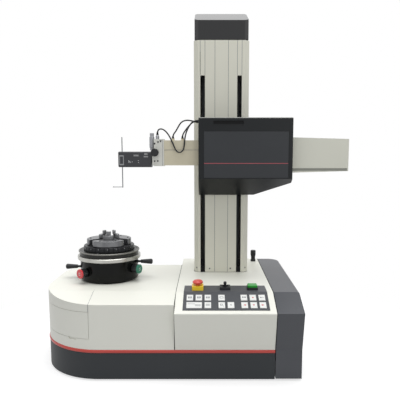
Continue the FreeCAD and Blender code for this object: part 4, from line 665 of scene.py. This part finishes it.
# %% The probe lead and the two arm leads
probe_route = [
    (-109, 5, 566),
    (-109, 5, 575),
    (-103.5, 1.5, 581),
    (-93.5, -4, 580),
    (-83, -11, 571),
    (-74.5, -16, 558),
    (-67, -19.5, 542),
    (-60.8, -21.5, 526),
    (-54, -22, 520.8),
    (-46, -22, 521.6),
    (-40.5, -21.5, 528.4),
    (-38.6, -20, 541),
    (-37.6, -17, 556),
    (-34.5, -12, 571),
    (-28.5, -6.5, 585),
    (-19.5, -4, 598),
    (-14, -4, 600),
    (-7, -4, 600),
]
arm_route_a = [
    (-69, 5, 556.4),
    (-69, 5, 566),
    (-61.5, 5, 575),
    (-54.5, 5, 588),
    (-47, 5.4, 599),
    (-35, 5.8, 603.5),
    (-22, 6, 602),
    (-14, 6, 600),
    (-7, 6, 600),
]
arm_route_b = [
    (-45, 14, 556.4),
    (-45, 14, 566),
    (-38, 14.4, 577),
    (-29, 15, 588.5),
    (-20, 15.6, 597.5),
    (-14, 16, 600),
    (-7, 16, 600),
]
lead("probe_lead", probe_route, "probe_cable")
lead("arm_lead_a", arm_route_a, "arm_cables")
lead("arm_lead_b", arm_route_b, "arm_cables")

# %% [markdown]
# ## Small mesh helpers
# Sizes in this lesson are written in millimetres, as on a drawing. The helpers below turn a mesh
# into metres, close its seams, point its faces outwards and hang the finished piece on its body.


# %% Keep a finished mesh
def keep(name, form, coat, body, sharp=30):
    """Make an object from a bmesh in millimetres and let it ride on a body."""
    bmesh.ops.remove_doubles(form, verts=form.verts, dist=0.001)
    bmesh.ops.recalc_face_normals(form, faces=form.faces)
    bmesh.ops.scale(form, vec=(0.001, 0.001, 0.001), verts=form.verts)
    mesh = bpy.data.meshes.new(name)
    form.to_mesh(mesh)
    form.free()
    mesh.materials.append(coat)
    mesh.polygons.foreach_set("use_smooth", [True] * len(mesh.polygons))
    mesh.set_sharp_from_angle(angle=math.radians(sharp))
    thing = bpy.data.objects.new(name, mesh)
    bpy.context.collection.objects.link(thing)
    if body:
        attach(thing, body)
        print(name, "faces", len(mesh.polygons), "on", body)
    return thing


# %% Turned, cut and swept shapes
def join_rows(form, low, high):
    """Skin two rings of points, either of which may be a single pole."""
    count = max(len(low), len(high))
    for k in range(count):
        a, b = low[k % len(low)], low[(k + 1) % len(low)]
        c, d = high[(k + 1) % len(high)], high[k % len(high)]
        corners = [p for i, p in enumerate((a, b, c, d)) if p not in (a, b, c, d)[:i]]
        form.faces.new(corners)


def turned(form, rings, centre=(0, 0, 0), way=(0, 0, 1), steps=24):
    """Turn (radius, height) rings around a line; a negative radius is a hexagon."""
    spin = Vector(way).to_track_quat("Z", "Y")
    last = None
    for radius, height in rings:
        row = []
        for k in range(1 if radius == 0 else steps):
            angle = 2 * math.pi * k / steps
            reach = abs(radius)
            if radius < 0:
                reach *= math.cos(math.pi / 6) / math.cos(angle % (math.pi / 3) - math.pi / 6)
            flat = Vector((reach * math.cos(angle), reach * math.sin(angle), height))
            row.append(form.verts.new(Vector(centre) + spin @ flat))
        if last:
            join_rows(form, last, row)
        last = row


def plate(form, outline, to_place):
    """A closed slab: the outline's points, each placed at its low and its high side."""
    low = [form.verts.new(to_place(x, y, 0)) for x, y in outline]
    high = [form.verts.new(to_place(x, y, 1)) for x, y in outline]
    form.faces.new(low)
    form.faces.new(high)
    for k in range(len(low)):
        j = (k + 1) % len(low)
        form.faces.new((low[k], low[j], high[j], high[k]))


def bar(form, low, high):
    """A straight bar between two corners."""

    def to_place(x, y, side):
        return (x, y, high[2] if side else low[2])

    plate(form, [(low[0], low[1]), (high[0], low[1]), (high[0], high[1]), (low[0], high[1])], to_place)


def ribbon(form, path, side, width, rise):
    """Sweep a flat strip along (place, outward) pairs; side is the way across it."""
    last = None
    across = Vector(side) * width / 2
    for place, outward in path:
        centre = Vector(place)
        up = Vector(outward).normalized() * rise
        corners = (centre - across, centre + across, centre + across + up, centre - across + up)
        row = [form.verts.new(p) for p in corners]
        if last:
            join_rows(form, last, row)
        else:
            form.faces.new(row)
        last = row
    form.faces.new(last)


# %% [markdown]
# ## Repeats by Geometry Nodes
# Screws, pins, contacts and slot lips repeat one small shape. Two node trees set them out: one on
# loose points, each with its own direction, and one along a straight row. Both end as real mesh.


# %% What both trees share
def start_tree(name, inputs):
    """A Geometry Nodes tree with named inputs and one geometry output."""
    group = bpy.data.node_groups.new(name, "GeometryNodeTree")
    for label, kind in inputs:
        group.interface.new_socket(label, in_out="INPUT", socket_type="NodeSocket" + kind)
    group.interface.new_socket("Geometry", in_out="OUTPUT", socket_type="NodeSocketGeometry")
    return group


def stand_pieces(group, enter, points):
    """Stand the piece on points, make it real mesh and give it its finish."""
    make, wire = group.nodes.new, group.links.new
    info = make("GeometryNodeObjectInfo")
    stand = make("GeometryNodeInstanceOnPoints")
    real = make("GeometryNodeRealizeInstances")
    coat = make("GeometryNodeSetMaterial")
    leave = make("NodeGroupOutput")
    wire(enter.outputs["Piece"], info.inputs["Object"])
    wire(points, stand.inputs["Points"])
    wire(info.outputs["Geometry"], stand.inputs["Instance"])
    wire(stand.outputs["Instances"], real.inputs["Geometry"])
    wire(real.outputs["Geometry"], coat.inputs["Geometry"])
    wire(enter.outputs["Finish"], coat.inputs["Material"])
    wire(coat.outputs["Geometry"], leave.inputs["Geometry"])
    return stand


# %% A tree that sets a piece out on points
def build_on_points():
    inputs = (("Points", "Geometry"), ("Piece", "Object"), ("Finish", "Material"), ("Seed", "Int"))
    group = start_tree("set_out_on_points", inputs)
    make, wire = group.nodes.new, group.links.new
    enter = make("NodeGroupInput")
    aim = make("GeometryNodeInputNamedAttribute")
    aim.data_type = "FLOAT_VECTOR"
    aim.inputs["Name"].default_value = "aim"
    align = make("FunctionNodeAlignRotationToVector")
    align.axis = "Z"
    chance = make("FunctionNodeRandomValue")
    chance.data_type = "FLOAT"
    chance.inputs[3].default_value = 2 * math.pi
    about = make("FunctionNodeAxisAngleToRotation")
    spin = make("FunctionNodeRotateRotation")
    spin.rotation_space = "LOCAL"
    wire(aim.outputs["Attribute"], align.inputs["Vector"])
    wire(enter.outputs["Seed"], chance.inputs["Seed"])
    wire(chance.outputs[1], about.inputs["Angle"])
    wire(align.outputs["Rotation"], spin.inputs["Rotation"])
    wire(about.outputs["Rotation"], spin.inputs["Rotate By"])
    stand = stand_pieces(group, enter, enter.outputs["Points"])
    wire(spin.outputs["Rotation"], stand.inputs["Rotation"])
    return group


# %% A tree that sets a piece out along a row
def build_in_row():
    inputs = (("Points", "Geometry"), ("Piece", "Object"), ("Finish", "Material"))
    inputs += (("Count", "Int"), ("Start", "Vector"), ("Step", "Vector"))
    group = start_tree("set_out_in_row", inputs)
    make, wire = group.nodes.new, group.links.new
    enter = make("NodeGroupInput")
    row = make("GeometryNodeMeshLine")
    wire(enter.outputs["Count"], row.inputs["Count"])
    wire(enter.outputs["Start"], row.inputs["Start Location"])
    wire(enter.outputs["Step"], row.inputs["Offset"])
    stand_pieces(group, enter, row.outputs["Mesh"])
    return group


on_points = build_on_points()
in_row = build_in_row()


# %% Run a tree and keep the plain mesh
def set_out(name, group, values, seed_mesh, body):
    thing = bpy.data.objects.new(name, seed_mesh)
    bpy.context.collection.objects.link(thing)
    tree = thing.modifiers.new("set_out", "NODES")
    tree.node_group = group
    for item in group.interface.items_tree:
        if item.in_out == "INPUT" and item.name in values:
            tree[item.identifier] = values[item.name]
    bpy.context.view_layer.update()
    deps = bpy.context.evaluated_depsgraph_get()
    result = bpy.data.meshes.new_from_object(thing.evaluated_get(deps))
    result.name = name
    thing.modifiers.clear()
    thing.data = result
    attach(thing, body)
    print(name, "faces", len(result.polygons), "on", body)
    return thing


def on_places(name, piece, places, coat, body):
    """Set a piece out on (place, direction) pairs, in millimetres."""
    mesh = bpy.data.meshes.new(name + "_points")
    mesh.from_pydata([Vector(place) / 1000 for place, _ in places], [], [])
    aim = mesh.attributes.new("aim", "FLOAT_VECTOR", "POINT")
    for k, (_, way) in enumerate(places):
        aim.data[k].vector = way
    return set_out(name, on_points, {"Piece": piece, "Finish": coat, "Seed": 4}, mesh, body)


# %% [markdown]
# ## Screws
# The covers and the bracket are held by socket screws with round heads, in two sizes. Each head is
# turned once, with a hexagonal recess, and then set out where the real ones sit.


# %% Turn the screw heads
def screw_head(name, radius, height, hexagon, round_edge):
    form = bmesh.new()
    turned(
        form,
        [
            (0, -0.3),
            (radius, -0.3),
            (radius, height - round_edge),
            (radius - 0.35 * round_edge, height - 0.3 * round_edge),
            (radius - round_edge, height),
            (-hexagon, height),
            (-hexagon * 0.94, height - 0.8),
            (0, height - 1.0),
        ],
    )
    return keep(name, form, screw_steel, None)


small_head = screw_head("small_head", 2.1, 1.1, 1.1, 0.5)
cover_head = screw_head("cover_head", 2.7, 1.2, 1.4, 0.7)
front, back, upward = (0, -1, 0), (0, 1, 0), (0, 0, 1)
table_spot = Vector((-240, 5, 0))


def around(radius, angle, height):
    turn = math.radians(angle)
    return table_spot + Vector((radius * math.cos(turn), radius * math.sin(turn), height))


def outward(angle):
    turn = math.radians(angle)
    return (math.cos(turn), math.sin(turn), 0)


# %% Set the screws out
bracket_xz = ((-114.6, 543.2), (-105.9, 547.4), (-99.4, 549.6), (-114.9, 498.8), (-106.9, 499.2))
bracket_spots = [((x, -15, z), front) for x, z in bracket_xz]
on_places("bracket_screws", small_head, bracket_spots, screw_black, "arm")
foot_spots = [((25.9, 48.4, 203.8), front), ((82.9, 48.4, 204.3), front), ((-9.2, 53.1, 205.6), (-1, -1, 0))]
foot_spots.append(((123.2, 53.1, 205.6), (1, -1, 0)))
on_places("column_foot_screws", small_head, foot_spots, screw_steel, "base")
back_spots = [((x, 175, z), back) for x in (-6, 120) for z in (215, 360, 505, 650, 795)]
on_places("column_back_screws", cover_head, back_spots, screw_steel, "base")
rear_spots = [((x, 222.5, z), back) for x in (-29, 149) for z in (91, 132, 173)]
on_places("rear_panel_screws", cover_head, rear_spots, screw_steel, "base")
side_spots = [((236, y, z), (1, 0, 0)) for y in (-150, 180) for z in (30, 165 if y > 0 else 140)]
on_places("side_cover_screws", cover_head, side_spots, screw_black, "base")
plate_spots = [(around(72.2, angle, 268), upward) for angle in (18, 138, 258)]
on_places("plate_screws", small_head, plate_spots, screw_steel, "table")
tail_spots = [((x, 26.5, z), back) for x in (250, 368) for z in (485, 543)]
on_places("tail_screws", small_head, tail_spots, screw_steel, "arm")
cap_spots = [((x, 173, 822), back) for x in (0, 114)]
on_places("cap_screws", cover_head, cap_spots, screw_black, "base")

# %% Bright pins in the chuck ring
form = bmesh.new()
turned(form, [(0, -0.4), (1.5, -0.4), (1.5, 0.5), (1.1, 0.9), (0, 1.0)], steps=12)
pin_head = keep("pin_head", form, screw_steel, None)
pin_spots = [(around(65, k * 20 - 3, 276.6), outward(k * 20 - 3)) for k in range(18)]
on_places("chuck_ring_pins", pin_head, pin_spots, screw_steel, "chuck_ring")

# %% [markdown]
# ## Jaws
# The chuck has three broad top jaws. Each one fills nearly a third of the circle, with a low rim
# outside and two steps towards the middle, and its nose is ground to a narrow edge. The plan of a
# jaw follows a rule, arcs and two flanks that stay clear of the neighbours when the jaws close, so
# it is worked out from radii and skinned level by level.


# %% Shape one jaw level
nose, nose_half, rim_round = 12.0, 1.5, 5.0


def jaw_plan(reach, spread, steps=18):
    """The outline of one level: a narrow nose, two flanks and a rim with rounded ends."""
    points = [(nose, -nose_half)]
    for k in range(steps + 1):
        share = 2 * k / steps - 1
        angle = math.radians(spread) * share
        rim = reach - rim_round * abs(share) ** 7
        points.append((rim * math.cos(angle), rim * math.sin(angle)))
    points.append((nose, nose_half))
    return points


# %% Stack the levels of a jaw: low, high, reach and spread in degrees
jaw_levels = ((281.3, 296.3, 57.5, 49), (296.2, 306.3, 27.0, 37), (306.2, 316.3, 18.0, 25))


def jaw_piece(name, angle, body, node_name):
    form = bmesh.new()
    out, side = Vector(outward(angle)), Vector(outward(angle + 90))
    for low, high, reach, spread in jaw_levels:

        def to_place(x, y, top):
            return table_spot + out * x + side * y + Vector((0, 0, high if top else low))

        plate(form, jaw_plan(reach, spread), to_place)
    thing = keep(name, form, jaw_steel, None)
    edge = thing.modifiers.new("edge", "BEVEL")
    edge.width = 0.0008
    edge.segments = 2
    edge.limit_method = "ANGLE"
    edge.angle_limit = math.radians(40)
    bpy.context.view_layer.update()
    deps = bpy.context.evaluated_depsgraph_get()
    thing.data = bpy.data.meshes.new_from_object(thing.evaluated_get(deps))
    thing.modifiers.clear()
    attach(thing, body)
    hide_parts(node_name)
    print(name, "faces", len(thing.data.polygons), "on", body)


# %% Make the three jaws
screw_reach, screw_turn = 48.5, 24
for label, angle, node_name in (("a", 37, "jaw_1"), ("b", 157, "jaw_2"), ("c", 277, "jaw_3")):
    jaw_piece("top_jaw_" + label, angle, "jaw_" + label, node_name)
    spots = [(around(screw_reach, angle + turn, 296.3), upward) for turn in (-screw_turn, screw_turn)]
    on_places("jaw_screws_" + label, small_head, spots, screw_black, "jaw_" + label)
for head in (small_head, cover_head, pin_head):
    bpy.data.objects.remove(head)

# %% [markdown]
# ## Seams and edging
# Where the sheet covers meet, a thin rubber edging closes the gap and draws a dark line. A finer
# line runs over the lid from the service door. All of them are flat strips swept along the covers.

# %% Rubber edging between the covers
form = bmesh.new()
lid_slope = (0, -11, 78.5)
edge_path = [
    ((-55.0, 153, 190), upward),
    ((-55.0, -121, 190), upward),
    ((-55.0, -126, 189.7), lid_slope),
    ((-55.0, -198.5, 179.4), lid_slope),
    ((-55.0, -201.3, 178.4), (0, -1, 1)),
    ((-55.0, -202, 175.5), front),
    ((-55.0, -202, 74.2), front),
]
ribbon(form, edge_path, (1, 0, 0), 1.9, 0.45)
keep("cover_edging", form, rubber, "base")
form = bmesh.new()
side_path = [
    ((175.0, 222, 193.2), upward),
    ((175.0, -149, 193.2), upward),
    ((175.0, -223, 165.6), (0, -28, 76)),
    ((175.0, -223.4, 164), front),
    ((175.0, -203.5, 76), front),
]
ribbon(form, side_path, (1, 0, 0), 1.9, 0.4)
keep("side_edging", form, rubber, "base")

# %% The fine seam above the door
form = bmesh.new()
seam_path = [
    ((-250.3, -201.9, 162.5), front),
    ((-250.3, -201.9, 176.3), front),
    ((-250.3, -201.2, 179.1), lid_slope),
    ((-250.9, -190, 180.7), lid_slope),
    ((-252.4, -158, 185.2), lid_slope),
    ((-253.9, -126, 189.65), lid_slope),
    ((-255.2, -112, 190), upward),
]
ribbon(form, seam_path, (1, 0, 0), 0.8, 0.12)
keep("lid_seam", form, legend_grey, "base")

# %% Painted shadow lines in the column's grooves and seams, and painted shade at its slots
# Grey strips painted into the grooves and seams as their shadow.
form = bmesh.new()
for x, low in ((39.6, 196), (74.9, 196), (13.4, 723), (98.5, 723), (1.0, 723), (110.5, 723)):
    bar(form, (x - 0.5, 48.25, low), (x + 0.5, 48.9, 811.8))
keep("column_lines", form, legend_grey, "base")
# Black strips painted as the shade along the left slot's outer edge and at the slots' lower ends.
form = bmesh.new()
bar(form, (0.4, 48.2, 724), (1.5, 49.0, 782))
for x in (7.2, 104.5):
    bar(form, (x - 5.9, 49.2, 194.6), (x + 5.9, 50.2, 209))
keep("slot_ends", form, seal_black, "base")

# %% Filler corners at the column's foot
form = bmesh.new()
for side, corner in ((1, -16.9), (-1, 130.9)):
    outline = [(corner, 47.6), (corner + side * 11.2, 47.6), (corner, 58.8)]
    plate(form, outline, lambda x, y, high: (x, y, 193.9 if high else 192.6))
keep("foot_corners", form, beige, "base")

# %% [markdown]
# ## Inlays
# A red line lies in the groove of the carriage panel, and a soft grey line runs along the arm.

# %% Inlay lines
form = bmesh.new()
bar(form, (11.9, -44.75, 492.8), (221.3, -44.2, 494.3))
keep("panel_line", form, line_red, "carriage")
form = bmesh.new()
bar(form, (-90.2, -15.15, 526.6), (299, -14.8, 527.3))
bar(form, (-95.2, -15.15, 487.2), (-94.4, -14.8, 553.4))
keep("arm_lines", form, legend_grey, "arm")

# %% [markdown]
# ## Key legends
# The keys carry printed signs. Here they are generic: bars, frames and plain arrows, in grey and
# red. The print is a film under a fifth of a millimetre thick that follows the key's slope.

# %% The slope of the key field
slope_angle = math.atan2(28, 76)
slope_sin, slope_cos = math.sin(slope_angle), math.cos(slope_angle)
upper_row, lower_row = -172.9, -198.9
field_front, field_low, panel_rise = -225, 166, 1.28
key_rise, print_rise = 1.55, 0.18


def key_top(row, x0):
    """Place drawing coordinates of one key (x across, y up the slope) on its top face."""
    base_z = field_low + (row - field_front) * 28 / 76 + panel_rise

    def to_place(x, y, side):
        lift = key_rise + (print_rise if side else 0)
        return (x0 + x, row + y * slope_cos - lift * slope_sin, base_z + y * slope_sin + lift * slope_cos)

    return to_place


# %% Signs to print
def block(x, y, wide, high):
    signs = ((-1, -1), (1, -1), (1, 1), (-1, 1))
    return [(x + a * wide / 2, y + b * high / 2) for a, b in signs]


def arrow(angle, size=3.4):
    cos, sin = math.cos(math.radians(angle)), math.sin(math.radians(angle))
    corners = ((0.62, 0), (-0.45, 0.62), (-0.45, -0.62))
    return [(size * (a * cos - b * sin) * 1.3, size * (a * sin + b * cos) * 1.3) for a, b in corners]


two_bars = [block(-2.4, 1.2, 3.6, 4.4), block(2.6, 1.2, 3.6, 4.4), block(0, -2.6, 8.8, 1.1)]
window = [block(0, 3.2, 8.6, 1.1), block(0, -2.6, 8.6, 1.1)]
window += [block(-3.8, 0.3, 1.0, 5), block(3.8, 0.3, 1.0, 5)]
lens = [block(-1, 3.6, 5, 1.2), block(-1, -1.4, 5, 1.2), block(-3.1, 1.1, 1.2, 4)]
lens += [block(1.3, 1.1, 1.2, 4), block(3.2, -3.4, 1.6, 2.6)]
rows = [block(0, 3.4, 9, 1.0), block(0, 0.9, 9, 1.0), block(0, -1.6, 9, 1.0)]
wide_rows = [block(-6.5, 4.2, 17, 1.1), block(8.5, 0.6, 13, 1.5), block(8.5, -3.0, 13, 1.5)]
grey_signs = [
    (upper_row, -20.7, two_bars),
    (upper_row, 0, two_bars),
    (upper_row, 20.7, two_bars),
    (upper_row, 52.2, window),
    (upper_row, 103.9, two_bars[:2]),
    (upper_row, 145.3, [block(-2.5, 0, 4, 3), block(2.4, 0, 3.4, 1.4)]),
    (lower_row, -10.35, wide_rows),
    (lower_row, 20.7, rows),
    (lower_row, 52.2, lens),
    (lower_row, 72.9, [arrow(-90, 2.6)]),
]
red_signs = [
    (upper_row, 124.6, [arrow(90)]),
    (lower_row, 103.9, [arrow(180), block(2.9, 0, 2, 1.6)]),
    (lower_row, 124.6, [arrow(-90)]),
    (lower_row, 145.3, [arrow(0), block(-2.9, 0, 2, 1.6)]),
]
for name, coat, signs in (
    ("key_signs_grey", legend_grey, grey_signs),
    ("key_signs_red", legend_red, red_signs),
):
    form = bmesh.new()
    for row, x0, shapes in signs:
        for shape in shapes:
            plate(form, shape, key_top(row, x0))
    keep(name, form, coat, "base")

# %% Pale marks on the knobs
cap_face, mark_rise = 96.5, 0.25
for name, angle, level, body, slot in (
    ("red_knob_mark", red_turn, 217, "red_centring_knob", "safety_red"),
    ("green_knob_mark", green_turn, 223, "green_centring_knob", "knob_green"),
):
    form = bmesh.new()
    out, side = Vector(outward(angle)), Vector(outward(angle + 90))

    def on_cap(x, y, high):
        return table_spot + out * (cap_face + mark_rise * high) + side * x + Vector((0, 0, level + y))

    for shape in (block(0, 2.3, 7, 1.6), block(0, -2.3, 7, 1.6)):
        plate(form, shape, on_cap)
    keep(name, form, legend_pale, body)

# %% Painted shade lining the carriage's slot, and a dark patch on the stylus holder
# A black sheet in the carriage's top slot: painted shade of the recess.
form = bmesh.new()
bar(form, (25.5, -43.3, 590.6), (109.5, -42.9, 598.4))
keep("slot_lining", form, seal_black, "carriage")
form = bmesh.new()
bar(form, (-205.0, -6.75, 491.5), (-197.0, -6.3, 510.5))
keep("holder_window", form, probe_dark, "probe")

# %% Pale scale marks on the probe
form = bmesh.new()
probe_mid, probe_face, probe_level = -167, -7, 505


def on_probe(x, y, high):
    return (probe_mid + x, probe_face - (0.15 if high else -0.1), probe_level + y)


for shape in (
    block(3.5, 9.2, 13, 0.9),
    block(3.5, 7.0, 13, 0.9),
    block(29, 11.8, 9, 1.9),
    block(29, 6.2, 11, 0.9),
    block(29, 4.4, 11, 0.9),
    block(-15.5, -7.2, 1.2, 6.5),
    block(-12.9, -8.2, 1.2, 4.5),
    block(-10.3, -9.2, 1.2, 2.5),
    block(-6, -8.2, 2.2, 1.2),
    block(9.5, -5.0, 2.2, 1.2),
    block(9.5, -9.6, 2.2, 1.2),
):
    plate(form, shape, on_probe)
keep("probe_marks", form, legend_pale, "probe")

# %% [markdown]
# ## Cable ends
# A lead never leaves metal bare. Each end has a tapered rubber sleeve that takes the bend.

# %% Sleeves at the leads' ends
form = bmesh.new()
steps_down = [(1.85, 0), (3.3, 0), (3.3, 1.2), (3.0, 1.6), (3.0, 2.6), (2.7, 3.0), (2.7, 4.0), (2.4, 4.4)]
sleeve = steps_down + [(2.2, 7.0), (1.85, 7.2), (1.85, 0)]
short_sleeve = steps_down + [(2.2, 5.4), (1.85, 5.6), (1.85, 0)]
turned(form, sleeve, centre=(-109, 5, 566), steps=20)
turned(form, sleeve, centre=(-69, 5, 556.4), steps=20)
turned(form, sleeve, centre=(-45, 14, 556.4), steps=20)
keep("arm_sleeves", form, rubber, "arm")
form = bmesh.new()
for y in (-4, 6, 16):
    turned(form, short_sleeve, centre=(-7, y, 600), way=(-1, 0, 0), steps=20)
keep("carriage_sleeves", form, rubber, "carriage")

# %% [markdown]
# ## The back
# Air leaves the base through a row of slots in the rear panel. Each slot has a pressed lip above
# it. Below sit the mains inlet with its three blades and a data socket with a row of contacts.

# %% Lips over the slots
form = bmesh.new()
lip_outline = [(-2.6, -0.2), (-1.8, 1.5), (1.0, 1.5), (1.0, 1.1), (-1.5, 1.1), (-2.1, -0.2)]
plate(form, lip_outline, lambda x, y, high: (x, y, 15 if high else -15))
lip_piece = keep("lip", form, skirt_dark, None)
values = {"Piece": lip_piece, "Finish": skirt_dark, "Count": 17}
values["Start"], values["Step"] = (-0.016, 0.2225, 0.152), (0.009, 0, 0)
set_out("vent_lips", in_row, values, bpy.data.meshes.new("row_seed"), "base")
bpy.data.objects.remove(lip_piece)

# %% Inlet blades and data contacts
form = bmesh.new()
bar(form, (-6.0, 208, 109.6), (-4.0, 219, 113.6))
for x in (-12, -0.0):
    bar(form, (x, 208, 103.0), (x + 2.0, 219, 107.0))
keep("inlet_blades", form, steel, "base")
form = bmesh.new()
shell_sides = ((46.5, 113, 73.5, 114), (46.5, 102, 73.5, 103), (46.5, 102, 47.5, 114), (72.5, 102, 73.5, 114))
for left, low, right, high in shell_sides:
    bar(form, (left, 223.1, low), (right, 224.7, high))
keep("data_shell", form, steel, "base")
form = bmesh.new()
turned(form, [(0, -0.3), (0.7, -0.3), (0.7, 0.9), (0.4, 1.2), (0, 1.2)], way=back, steps=10)
contact = keep("contact", form, steel, None)
for name, count, x, z in (("data_contacts_upper", 5, 54.4, 109.6), ("data_contacts_lower", 4, 55.8, 106.6)):
    values = {"Piece": contact, "Finish": steel, "Count": count}
    values["Start"], values["Step"] = (x / 1000, 0.2233, z / 1000), (0.0028, 0, 0)
    set_out(name, in_row, values, bpy.data.meshes.new("row_seed"), "base")
bpy.data.objects.remove(contact)
